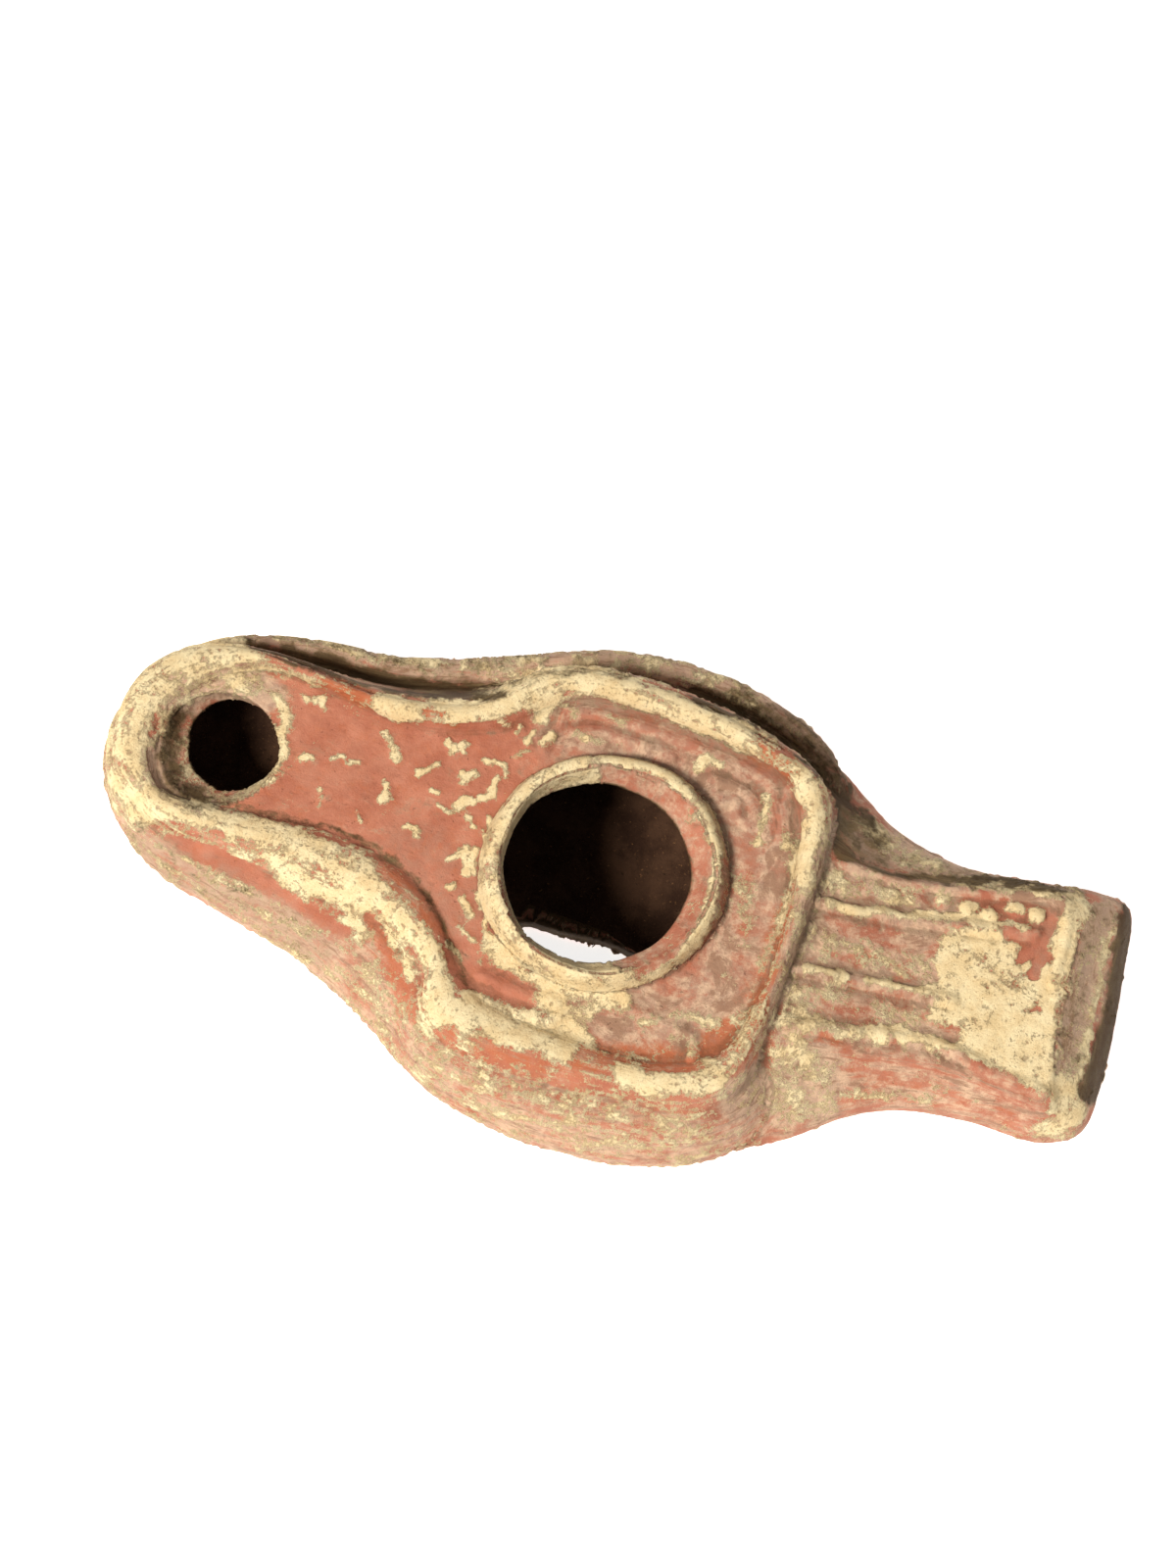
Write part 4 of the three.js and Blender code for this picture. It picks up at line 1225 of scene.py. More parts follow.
@dataclass
class Sheet:
    """A node tree being drawn, for a shader or for geometry."""

    tree: bpy.types.NodeTree
    column: int = 0

    def add(self, kind: str, **settings: object) -> bpy.types.Node:
        """Adds a node.

        Args:
            kind: the node's type.
            **settings: its settings.

        Returns:
            The node.
        """
        made = self.tree.nodes.new(kind)
        for name, value in settings.items():
            setattr(made, name, value)
        made.location = (self.column * 180, -(self.column % 5) * 160)
        self.column += 1
        return made

    def put(self, socket: Socket, value: object) -> None:
        """Links a value's socket to a node's input, or sets the input to it.

        Args:
            socket: the input.
            value: another node's output, or a plain value.
        """
        if isinstance(value, bpy.types.NodeSocket):
            self.tree.links.new(value, socket)
        else:
            socket.default_value = value

    def node(self, kind: str, inputs: dict[str | int, object], output: str | int = 0,
             **settings: object) -> Socket:
        """Adds a node and fills its inputs.

        Args:
            kind: the node's type.
            inputs: the value of each input, under its name or number.
            output: the name or number of the output that is wanted.
            **settings: the node's settings.

        Returns:
            The output.
        """
        made = self.add(kind, **settings)
        for name, value in inputs.items():
            self.put(made.inputs[name], value)
        return made.outputs[output]

    def math(self, operation: str, a: object, b: object = 0.0, clamp: bool = False) -> Socket:
        """Returns the result of a Math node."""
        return self.node("ShaderNodeMath", {0: a, 1: b}, operation=operation, use_clamp=clamp)

    def times(self, a: object, b: object, clamp: bool = False) -> Socket:
        """Returns one value times another."""
        return self.math("MULTIPLY", a, b, clamp)

    def total(self, *values: object) -> Socket:
        """Returns the sum of two values or more."""
        return functools.reduce(lambda a, b: self.math("ADD", a, b), values)

    def swing(self, value: Socket, amount: object) -> Socket:
        """Returns a value about 0.5 as a swing about 0."""
        return self.times(self.math("SUBTRACT", value, 0.5), amount)

    def step(self, value: object, low: float, high: float, start: float = 0.0,
             end: float = 1.0) -> Socket:
        """Returns a smooth step of a value from start to end as it goes from low to high."""
        given = dict(enumerate((value, low, high, start, end)))
        return self.node("ShaderNodeMapRange", given, interpolation_type="SMOOTHSTEP")

    def blend(self, share: object, a: object, b: object, how: str = "MIX") -> Socket:
        """Returns a mix of two colours."""
        return self.node("ShaderNodeMix", {"Factor": share, 6: a, 7: b}, 2,
                         data_type="RGBA", blend_type=how)

    def noise(self, place: Socket, scale: float, detail: float = 4.0, roughness: float = 0.55,
              distortion: float = 0.0) -> Socket:
        """Returns a noise's value, about 0.5 on average."""
        given = {"Vector": place, "Scale": scale, "Detail": detail, "Roughness": roughness,
                 "Distortion": distortion}
        return self.node("ShaderNodeTexNoise", given, normalize=True)

    def combine(self, x: object, y: object, z: object) -> Socket:
        """Returns a vector of three values."""
        return self.node("ShaderNodeCombineXYZ", {0: x, 1: y, 2: z})

    def level_lines(self, place: Socket, band: Socket, along: float, across: float) -> Socket:
        """Draws a place that changes slowly along the lamp and fast across its levels.

        Args:
            place: the point's place in millimetres.
            band: the point's place across the lamp's levels.
            along: the scale in plan.
            across: the scale over the levels.

        Returns:
            The place to read a streaky noise at.
        """
        axes = self.add("ShaderNodeSeparateXYZ")
        self.put(axes.inputs[0], place)
        return self.combine(self.times(axes.outputs[0], along), self.times(axes.outputs[1], along),
                            self.times(band, across))


def crust_edge(sheet: Sheet, place: Socket, band: Socket, bias: Socket) -> Socket:
    """Draws the ragged edge of the crust, the same one in the shader and in the geometry.

    Args:
        sheet: the tree to draw in.
        place: the point's place in millimetres.
        band: the point's place across the lamp's levels.
        bias: the painted coat, above 0 where crust lies.

    Returns:
        A value above 0 where there is crust.
    """
    patches = sheet.noise(place, 0.42, 8.0, 0.7, 0.3)
    flakes = sheet.noise(place, 1.9, 7.0, 0.7)
    streaks = sheet.noise(sheet.level_lines(place, band, 0.22, 1.7), 1.0, 5.0, 0.6, 0.3)
    return sheet.total(sheet.swing(patches, 2.2), sheet.swing(flakes, 2.3),
                       sheet.swing(streaks, 1.9), bias)


# ---- the clay's surface: lines, wear and crust, as geometry --------------------------------------


@dataclass
class Relief:
    """What the surface tree does to the lofted clay: raised lines, worn edges, crust and pits."""

    rib_width: float = 1.5
    rib_height: float = 0.85
    line_width: float = 1.2
    line_height: float = 0.5
    bead_radius: float = 0.85
    bead_height: float = 0.45
    wear: int = 5
    weld_reach: int = 14
    crease_reach: int = 9
    unevenness: float = 0.32
    crust_thickness: float = 0.2
    pit_depth: float = 0.12
    ribs: tuple[Outline, ...] = (
        ((21.4, 3.7), (30.8, 5.1), (38.2, 6.4), (44.6, 7.6)),
        ((20.8, -4), (29, -2.7), (34, -2.2), (38, -1.8)),
        ((22.6, -9.8), (30.4, -7.8), (37.9, -6.9), (43.8, -8), (49.4, -8.7)),
    )
    edge: Outline = ((23.6, 8.7), (31.8, 9.3), (39.4, 10.7), (45.6, 11.9), (47.4, 9.4), (47.5, 3))
    beads: Outline = ((26.6, 7), (29, 7.3), (31.6, 7.8), (34.2, 8.2), (36.8, 8.5), (39.3, 8.5),
                      (41.8, 9.6), (44.2, 9.6))
    disc_lines: tuple[Outline, ...] = (
        ((-10.2, 11.6), (-9.5, 14.4), (-7.8, 16.5), (1.5, 16.6), (12.2, 15.1), (14.4, 12.6),
         (14.8, 9)),
        ((15.6, 14.4), (15.9, 11.4), (16.2, 7.6)),
        ((-9.4, -13.9), (-6.4, -14.4), (-3.4, -14.7), (-1, -14.5)),
        ((-4.4, -16.7), (-1.6, -16.8), (-0.3, -15.9)),
        ((6.3, -12.8), (9.8, -13.6), (13, -13.9), (14.1, -15.2), (13.9, -16.4)),
        ((-7.6, 14.2), (-5, 15), (-1, 14.8), (3, 14.4)),
        ((6.4, 14.6), (8.6, 15.2), (11, 14.4)),
        ((8.4, 13.2), (11, 13), (12.6, 11.6), (12.8, 9.6)),
        ((10.6, 11.6), (11.4, 10), (13, 9.4)),
    )

    def sizes(self) -> dict[str, float | int]:
        """Returns the surface tree's sizes under the titles of its inputs."""
        values = {item.name: getattr(self, item.name) for item in fields(self)}
        return {name.replace("_", " ").title(): value for name, value in values.items()
                if isinstance(value, (int, float))}

    def guide(self, name: str, paths: Sequence[Outline],
              height: Callable[[float], float]) -> bpy.types.Object:
        """Makes a guide of straight edges along paths on the surface, which the tree measures from.

        Args:
            name: the guide's name.
            paths: the paths in plan.
            height: the surface's height at an X.

        Returns:
            The guide object.
        """
        points, edges = [], []
        for path in paths:
            line = smooth_path(path)
            edges += [(len(points) + i, len(points) + i + 1) for i in range(len(line) - 1)]
            points += [(x, y, height(x)) for x, y in line]
        return new_mesh(name, points, edges, [])

    def guides(self, handle: Handle) -> dict[str, bpy.types.Object]:
        """Makes the guides of the ribs, the fine lines and the beads.

        Args:
            handle: the handle that some of them lie on.

        Returns:
            Each guide under the title of the tree's input.
        """
        def top(x: float) -> float:
            """Returns the handle's height at an X."""
            return float(handle.top_z(x))

        return {
            "Ribs": self.guide("ribs", self.ribs, top),
            "Fine Lines": self.guide("fine_lines", self.disc_lines, lambda x: FLOOR_Z),
            "Edge Line": self.guide("edge_line", (self.edge,), top),
            "Beads": self.guide("beads", [(bead,) for bead in self.beads], top),
        }

    def tree(self, values: dict[str, object]) -> bpy.types.NodeTree:
        """Draws the surface tree.

        Args:
            values: what the tree will be given, under the titles of its inputs.

        Returns:
            The tree.
        """
        tree = bpy.data.node_groups.new("Lamp clay surface", "GeometryNodeTree")
        kinds = {int: "Int", float: "Float", bpy.types.Object: "Object",
                 bpy.types.Material: "Material"}
        face = tree.interface
        face.new_socket("Geometry", in_out="INPUT", socket_type="NodeSocketGeometry")
        for title, value in values.items():
            face.new_socket(title, in_out="INPUT", socket_type="NodeSocket" + kinds[type(value)])
        face.new_socket("Geometry", in_out="OUTPUT", socket_type="NodeSocketGeometry")

        sheet = Sheet(tree)
        given = sheet.add("NodeGroupInput").outputs
        place = self.named(sheet, "place", "FLOAT_VECTOR")
        shape = self.worn(sheet, given)
        rise = sheet.combine(0.0, 0.0, self.raised(sheet, given, place))
        shape = self.move(sheet, shape, Offset=rise)
        normal = sheet.add("GeometryNodeInputNormal").outputs[0]
        out = sheet.node("ShaderNodeVectorMath", {
            0: normal, "Scale": self.skin(sheet, given, place)}, operation="SCALE")
        shape = self.crease(sheet, given, self.move(sheet, shape, Offset=out), normal)

        shape = sheet.node("GeometryNodeSetShadeSmooth", {"Geometry": shape})
        shape = sheet.node("GeometryNodeRealizeInstances", {0: shape})
        shape = sheet.node("GeometryNodeSetMaterial", {
            "Geometry": shape, "Material": given["Clay"]})
        band = self.named(sheet, "band")
        inside = sheet.times(
            sheet.math("GREATER_THAN", band, Band.HOLLOW.value - 0.5),
            sheet.math("LESS_THAN", band, Band.HOLLOW.value + 0.5))
        shape = sheet.node("GeometryNodeSetMaterial", {
            "Geometry": shape, "Selection": inside, "Material": given["Hollow Clay"]})
        sheet.put(sheet.add("NodeGroupOutput").inputs[0], shape)
        return tree

    def worn(self, sheet: Sheet, given: bpy.types.NodeOutputs) -> Socket:
        """Draws the worn edges and the handle's root, smoothed into the bowl by hand.

        Args:
            sheet: the tree to draw in.
            given: the tree's inputs.

        Returns:
            The geometry.
        """
        angle = sheet.add("GeometryNodeInputMeshEdgeAngle").outputs[0]
        sharp = sheet.step(angle, 0.1, 0.34, 0.0, 0.85)
        rubbed = self.blur(sheet, self.position(sheet), given["Wear"], sharp)
        shape = self.move(sheet, given["Geometry"], Position=rubbed)
        reach = given["Weld Reach"]
        weld = self.blur(sheet, self.named(sheet, "weld"), reach, 1.0, "FLOAT")
        near_weld = sheet.step(weld, 0.0, 0.12)
        thumbed = self.blur(sheet, self.position(sheet), reach, near_weld)
        return self.move(sheet, shape, Position=thumbed)

    def raised(self, sheet: Sheet, given: bpy.types.NodeOutputs, place: Socket) -> Socket:
        """Draws the raised lines and beads, worn away here and there.

        Args:
            sheet: the tree to draw in.
            given: the tree's inputs.
            place: the point's place in millimetres.

        Returns:
            The height that they rise.
        """
        bead_width = sheet.times(given["Bead Radius"], 2.0)
        rise = self.bar(sheet, given["Ribs"], given["Rib Width"], given["Rib Height"])
        for bar in (
            self.bar(sheet, given["Fine Lines"], given["Line Width"], given["Line Height"]),
            self.bar(sheet, given["Edge Line"], given["Line Width"], given["Line Height"]),
            self.bar(sheet, given["Beads"], bead_width, given["Bead Height"], "POINTS"),
        ):
            rise = sheet.math("MAXIMUM", rise, bar)
        return sheet.times(rise, sheet.step(sheet.noise(place, 0.35, 3.0), 0.3, 0.55, 0.45, 1.0))

    def skin(self, sheet: Sheet, given: bpy.types.NodeOutputs, place: Socket) -> Socket:
        """Draws the unevenness of hand-pressed clay, the crust's thickness and the pits.

        Args:
            sheet: the tree to draw in.
            given: the tree's inputs.
            place: the point's place in millimetres.

        Returns:
            How far a point moves out along the surface's normal.
        """
        sway = sheet.swing(sheet.noise(place, 0.16, 2.0), given["Unevenness"])
        rough = sheet.swing(sheet.noise(place, 0.7, 3.0), sheet.times(given["Unevenness"], 0.55))
        band, bias = self.named(sheet, "band"), self.named(sheet, CRUST.value)
        edge = crust_edge(sheet, place, band, bias)
        crust = sheet.times(sheet.step(edge, -0.12, 0.16), given["Crust Thickness"])
        pitted = sheet.step(sheet.noise(place, 1.15, 2.0), 0.62, 0.74)
        pits = sheet.times(pitted, given["Pit Depth"])
        return sheet.math("SUBTRACT", sheet.total(sway, rough, crust), pits)

    def crease(self, sheet: Sheet, given: bpy.types.NodeOutputs, shape: Socket,
               normal: Socket) -> Socket:
        """Keeps how far each point lies in a crease, for the dirt and painted shade that darken
        creases.

        Args:
            sheet: the tree to draw in.
            given: the tree's inputs.
            shape: the geometry.
            normal: the surface's normal.

        Returns:
            The geometry, with the attribute "crease".
        """
        position = self.position(sheet)
        around = self.blur(sheet, position, given["Crease Reach"], 1.0)
        gap = sheet.node("ShaderNodeVectorMath", {0: around, 1: position}, operation="SUBTRACT")
        depth = sheet.node("ShaderNodeVectorMath", {0: gap, 1: normal}, "Value",
                           operation="DOT_PRODUCT")
        return sheet.node("GeometryNodeStoreNamedAttribute", {
            "Geometry": shape, "Name": "crease", "Value": depth}, data_type="FLOAT", domain="POINT")

    def position(self, sheet: Sheet) -> Socket:
        """Returns the point's position."""
        return sheet.add("GeometryNodeInputPosition").outputs[0]

    def named(self, sheet: Sheet, name: str, kind: str = "FLOAT") -> Socket:
        """Returns a named attribute of the geometry."""
        return sheet.node("GeometryNodeInputNamedAttribute", {"Name": name}, "Attribute",
                          data_type=kind)

    def blur(self, sheet: Sheet, value: Socket, rounds: object, weight: object,
             kind: str = "FLOAT_VECTOR") -> Socket:
        """Returns a value drawn towards that of the neighbouring points, some rounds."""
        return sheet.node("GeometryNodeBlurAttribute", {
            "Value": value, "Iterations": rounds, "Weight": weight}, data_type=kind)

    def move(self, sheet: Sheet, shape: Socket, **places: Socket) -> Socket:
        """Returns the geometry with its points at a new Position or moved by an Offset."""
        return sheet.node("GeometryNodeSetPosition", {"Geometry": shape, **places})

    def bar(self, sheet: Sheet, guide: Socket, width: Socket, height: Socket,
            target: str = "EDGES") -> Socket:
        """Draws a rounded bar along a guide.

        Args:
            sheet: the tree to draw in.
            guide: the guide object.
            width: the bar's width.
            height: the bar's height.
            target: "EDGES" or "POINTS", what the bar follows.

        Returns:
            The bar's height at the point, 0 beyond its width.
        """
        line = sheet.node("GeometryNodeObjectInfo", {"Object": guide}, "Geometry")
        gap = sheet.node("GeometryNodeProximity", {0: line}, "Distance", target_element=target)
        share = sheet.math("DIVIDE", gap, sheet.times(width, 0.62))
        return sheet.times(sheet.step(share, 0.15, 1.0, 1.0, 0.0), height)

    def dress(self, clay: bpy.types.Object, handle: Handle, outside: bpy.types.Material,
              inside: bpy.types.Material) -> None:
        """Runs the surface tree on the clay and turns the result into a plain mesh.

        Args:
            clay: the clay, with its marks and its paint.
            handle: the handle that some lines lie on.
            outside: the finish of the clay's outside.
            inside: the finish of its hollow.
        """
        guides = self.guides(handle)
        values = {**guides, **self.sizes(), "Clay": outside, "Hollow Clay": inside}
        step = clay.modifiers.new("clay surface", "NODES")
        step.node_group = self.tree(values)
        for item in step.node_group.interface.items_tree:
            if item.in_out == "INPUT" and item.name in values:
                step[item.identifier] = values[item.name]
        bake(clay)
        for guide in guides.values():
            bpy.data.objects.remove(guide)


# ---- materials -----------------------------------------------------------------------------------


def shader_group(name: str, inputs: dict[str, str], outputs: Sequence[str],
                 ) -> tuple[Sheet, bpy.types.NodeOutputs, bpy.types.Node]:
    """Starts a shader node group.

    Args:
        name: the group's name.
        inputs: "Vector" or "Float" for each input.
        outputs: the names of its outputs, all values.

    Returns:
        The sheet to draw in, the group's inputs, and its output node.
    """
    tree = bpy.data.node_groups.new(name, "ShaderNodeTree")
    for title, kind in inputs.items():
        tree.interface.new_socket(title, in_out="INPUT", socket_type="NodeSocket" + kind)
    for title in outputs:
        tree.interface.new_socket(title, in_out="OUTPUT", socket_type="NodeSocketFloat")
    sheet = Sheet(tree)
    return sheet, sheet.add("NodeGroupInput").outputs, sheet.add("NodeGroupOutput")


def grain_group() -> bpy.types.NodeTree:
    """Draws the grain of fired clay: fine sand, specks, pinholes and clouds of colour.

    Returns:
        The group.
    """
    marks = {"Specks": ((3.1, 3.0, 0.6), (0.64, 0.72)), "Pinholes": ((1.9, 3.0, 0.6), (0.66, 0.76)),
             "Clouds": ((0.24, 5.0, 0.62), (0.34, 0.66))}
    sheet, given, out = shader_group("Clay grain", {"Place": "Vector"}, ["Sand", *marks])
    place = given["Place"]
    sheet.put(out.inputs["Sand"], sheet.noise(place, 5.5, 4.0, 0.7))
    for title, (kind, span) in marks.items():
        sheet.put(out.inputs[title], sheet.step(sheet.noise(place, *kind), *span))
    return sheet.tree


def crust_group() -> bpy.types.NodeTree:
    """Draws the earthy crust: where it lies, how thick it is, its stains and its two shades.

    Returns:
        The group.
    """
    sheet, given, out = shader_group(
        "Earth crust", {"Place": "Vector", "Band": "Float", "Bias": "Float"},
        ["Cover", "Thickness", "Stain", "Shade"])
    place = given["Place"]
    crumbs = sheet.swing(sheet.noise(place, 4.8, 6.0, 0.75), 1.7)
    edge = sheet.total(crust_edge(sheet, place, given["Band"], given["Bias"]), crumbs)
    crumble = sheet.total(sheet.noise(place, 1.5, 5.0, 0.62), 0.5)
    rim = sheet.times(sheet.step(edge, 0.02, 0.34, 1.0, 0.0), 0.1)
    dimples = sheet.step(sheet.noise(place, 2.7, 4.0, 0.6), 0.6, 0.72)
    dots = sheet.step(sheet.noise(place, 3.6, 3.0, 0.6), 0.56, 0.68)
    for title, value in (
        ("Cover", sheet.step(edge, -0.03, 0.04)),
        ("Thickness", sheet.times(sheet.step(edge, -0.03, 0.4), crumble)),
        ("Stain", sheet.math("MAXIMUM", rim, sheet.math("MAXIMUM", dimples, dots))),
        ("Shade", sheet.step(sheet.noise(place, 0.5, 5.0, 0.6), 0.32, 0.68)),
    ):
        sheet.put(out.inputs[title], value)
    return sheet.tree


@dataclass(frozen=True)
class ClayColours:
    """The colours of the clay and of what lies on it."""

    slip: Colour = srgb(205, 136, 108)
    slip_deep: Colour = srgb(182, 112, 86)
    orange: Colour = srgb(194, 114, 76)
    purple: Colour = srgb(182, 136, 112)
    wash: Colour = srgb(216, 182, 150)
    wash_grey: Colour = srgb(176, 148, 126)
    wash_brown: Colour = srgb(148, 112, 88)
    cream: Colour = srgb(240, 219, 173)
    cream_deep: Colour = srgb(226, 198, 148)
    stain: Colour = srgb(164, 118, 76)
    # soot-and-shade browns: soot, and painted shade where the lamp lies in shadow
    soot: Colour = srgb(76, 58, 34)
    soot_pale: Colour = srgb(126, 104, 70)
    # the hollow's browns, very dark: soot, and painted shade inside the lamp
    hollow: Colour = srgb(56, 36, 25)
    hollow_pale: Colour = srgb(86, 60, 43)


@dataclass
class ClayFinish:
    """The two finishes of the lamp: weathered outside, and sooted inside darkened as painted shade.
    """

    colours: ClayColours = field(default_factory=ClayColours)
    specular: float = 0.14
    hollow_roughness: float = 0.95

    def start(self, name: str) -> tuple[bpy.types.Material, Sheet, bpy.types.Node]:
        """Starts a material.

        Args:
            name: the material's name.

        Returns:
            The material, its sheet and its Principled shader.
        """
        made = bpy.data.materials.new(name)
        made.use_nodes = True
        shader = made.node_tree.nodes["Principled BSDF"]
        shader.inputs["Specular IOR Level"].default_value = self.specular
        return made, Sheet(made.node_tree, 1), shader

    def group(self, sheet: Sheet, tree: bpy.types.NodeTree,
              **values: Socket) -> bpy.types.NodeOutputs:
        """Places a group.

        Args:
            sheet: the tree to draw in.
            tree: the group.
            **values: its inputs.

        Returns:
            Its outputs.
        """
        made = sheet.add("ShaderNodeGroup", node_tree=tree)
        for name, value in values.items():
            sheet.put(made.inputs[name], value)
        return made.outputs

    def read(self, sheet: Sheet, name: str, output: str = "Fac") -> Socket:
        """Returns an attribute of the clay's points."""
        return sheet.add("ShaderNodeAttribute", attribute_name=name).outputs[output]

    def relief(self, sheet: Sheet, shader: bpy.types.Node, height: Socket) -> None:
        """Feeds a height in millimetres to the shader's normal."""
        bump = sheet.node("ShaderNodeBump", {"Strength": 1.0, "Distance": MM, "Height": height})
        sheet.put(shader.inputs["Normal"], bump)

    def slip(self, sheet: Sheet, place: Socket, grain: bpy.types.NodeOutputs) -> Socket:
        """Draws the bare slip: two reds, purple-brown and orange patches, sand and specks.

        Args:
            sheet: the tree to draw in.
            place: the point's place in millimetres.
            grain: the clay's grain.

        Returns:
            The colour.
        """
        c = self.colours
        slip = sheet.blend(grain["Clouds"], c.slip_deep, c.slip)
        broken = sheet.step(sheet.noise(place, 0.55, 5.0, 0.65), 0.3, 0.62)
        purple = sheet.times(self.read(sheet, PURPLE.value), broken, True)
        slip = sheet.blend(purple, slip, c.purple)
        fired = sheet.math("SUBTRACT", sheet.noise(place, 0.9, 5.0, 0.65), 0.62)
        warm = sheet.total(self.read(sheet, ORANGE.value), fired)
        slip = sheet.blend(sheet.step(warm, 0.0, 0.6), slip, c.orange)
        slip = sheet.blend(sheet.times(grain["Sand"], 0.35), slip, c.slip_deep, "MULTIPLY")
        return sheet.blend(sheet.times(grain["Specks"], 0.35), slip, c.stain)

    def washed(self, sheet: Sheet, slip: Socket, streaks: Socket, mottle: Socket,
               clouds: Socket) -> Socket:
        """Draws the dusty wash over the slip, worn through in streaks and mottles.

        Args:
            sheet: the tree to draw in.
            slip: the slip's colour.
            streaks: a noise in streaks along the lamp's levels.
            mottle: a noise in small patches.
            clouds: broad clouds, 0 to 1.

        Returns:
            The colour.
        """
        c = self.colours
        thin = sheet.total(self.read(sheet, WASH.value), sheet.swing(streaks, 2.8),
                           sheet.swing(mottle, 1.4), sheet.swing(clouds, 0.3))
        film = sheet.blend(sheet.step(mottle, 0.38, 0.6), c.wash_grey, c.wash)
        film = sheet.blend(sheet.step(streaks, 0.51, 0.6, 0.0, 0.85), film, c.wash_brown)
        return sheet.blend(sheet.step(thin, 0.25, 0.85, 0.0, 0.9), slip, film)

    def crusted(self, sheet: Sheet, colour: Socket, crust: bpy.types.NodeOutputs) -> Socket:
        """Draws the cream crust over a colour.

        Args:
            sheet: the tree to draw in.
            colour: what lies under it.
            crust: the crust group's outputs.

        Returns:
            The colour.
        """
        c = self.colours
        cream = sheet.blend(crust["Shade"], c.cream_deep, c.cream)
        cream = sheet.blend(sheet.times(crust["Stain"], 0.42), cream, c.stain)
        return sheet.blend(crust["Cover"], colour, cream)

    def sooted(self, sheet: Sheet, colour: Socket, streaks: Socket, mottle: Socket) -> Socket:
        """Draws dirt and painted shade in the creases, and the soot-and-shade coat, over a colour.

        Args:
            sheet: the tree to draw in.
            colour: what lies under it.
            streaks: a noise in streaks along the lamp's levels.
            mottle: a noise in small patches.

        Returns:
            The colour.
        """
        c = self.colours
        # dirt and painted shade: creases darken towards the soot-and-shade brown
        crease = sheet.step(self.read(sheet, "crease"), 0.04, 0.2)
        crease_dirt_and_shade = sheet.times(crease, sheet.step(mottle, 0.3, 0.6, 0.15, 0.5))
        colour = sheet.blend(crease_dirt_and_shade, colour, c.soot)
        soot = self.read(sheet, SOOT.value)
        ragged = sheet.swing(mottle, sheet.step(soot, 0.0, 0.3, 0.7, 1.8))
        dark = sheet.step(sheet.total(ragged, soot), 0.22, 0.8, 0.0, 0.95)
        pale = sheet.times(sheet.step(streaks, 0.42, 0.66), sheet.step(soot, 0.75, 1.1, 1.0, 0.2))
        return sheet.blend(dark, colour, sheet.blend(pale, c.soot, c.soot_pale))

    def outside(self, grain_tree: bpy.types.NodeTree,
                crust_tree: bpy.types.NodeTree) -> bpy.types.Material:
        """Makes the weathered outside: slip, dusty wash, earthy crust, and dirt, soot and painted
        shade.

        Args:
            grain_tree: the clay's grain.
            crust_tree: the earthy crust.

        Returns:
            The material.
        """
        made, sheet, shader = self.start("Fired clay, weathered")
        place, band = self.read(sheet, "place", "Vector"), self.read(sheet, "band")
        grain = self.group(sheet, grain_tree, Place=place)
        crust = self.group(sheet, crust_tree, Place=place, Band=band,
                           Bias=self.read(sheet, CRUST.value))
        streaks = sheet.noise(sheet.level_lines(place, band, 0.2, 3.4), 1.0, 9.0, 0.74, 0.5)
        mottle = sheet.noise(place, 0.8, 9.0, 0.76)
        colour = self.slip(sheet, place, grain)
        colour = self.washed(sheet, colour, streaks, mottle, grain["Clouds"])
        colour = self.crusted(sheet, colour, crust)
        sheet.put(shader.inputs["Base Color"], self.sooted(sheet, colour, streaks, mottle))

        sandy = sheet.total(sheet.times(grain["Sand"], 0.2), 0.6)
        rough = sheet.math("MAXIMUM", sandy, sheet.times(crust["Cover"], 0.92))
        sheet.put(shader.inputs["Roughness"], rough)
        pitted = sheet.math("SUBTRACT", sheet.times(grain["Sand"], 0.07),
                            sheet.times(grain["Pinholes"], 0.1))
        self.relief(sheet, shader, sheet.total(
            pitted, sheet.times(mottle, 0.2), sheet.times(streaks, 0.1),
            sheet.times(crust["Thickness"], 0.1)))
        return made

    def inside(self, grain_tree: bpy.types.NodeTree) -> bpy.types.Material:
        """Makes the sooted hollow, dark also as painted shade.

        Args:
            grain_tree: the clay's grain.

        Returns:
            The material.
        """
        made, sheet, shader = self.start("Fired clay, sooted")
        c = self.colours
        grain = self.group(sheet, grain_tree, Place=self.read(sheet, "place", "Vector"))
        colour = sheet.blend(grain["Clouds"], c.hollow, c.hollow_pale)
        colour = sheet.blend(sheet.times(grain["Specks"], 0.5), colour, c.stain)
        sheet.put(shader.inputs["Base Color"], colour)
        shader.inputs["Roughness"].default_value = self.hollow_roughness
        self.relief(sheet, shader, sheet.math(
            "SUBTRACT", sheet.times(grain["Sand"], 0.16), sheet.times(grain["Pinholes"], 0.2)))
        return made


# ---- the whole lamp ------------------------------------------------------------------------------


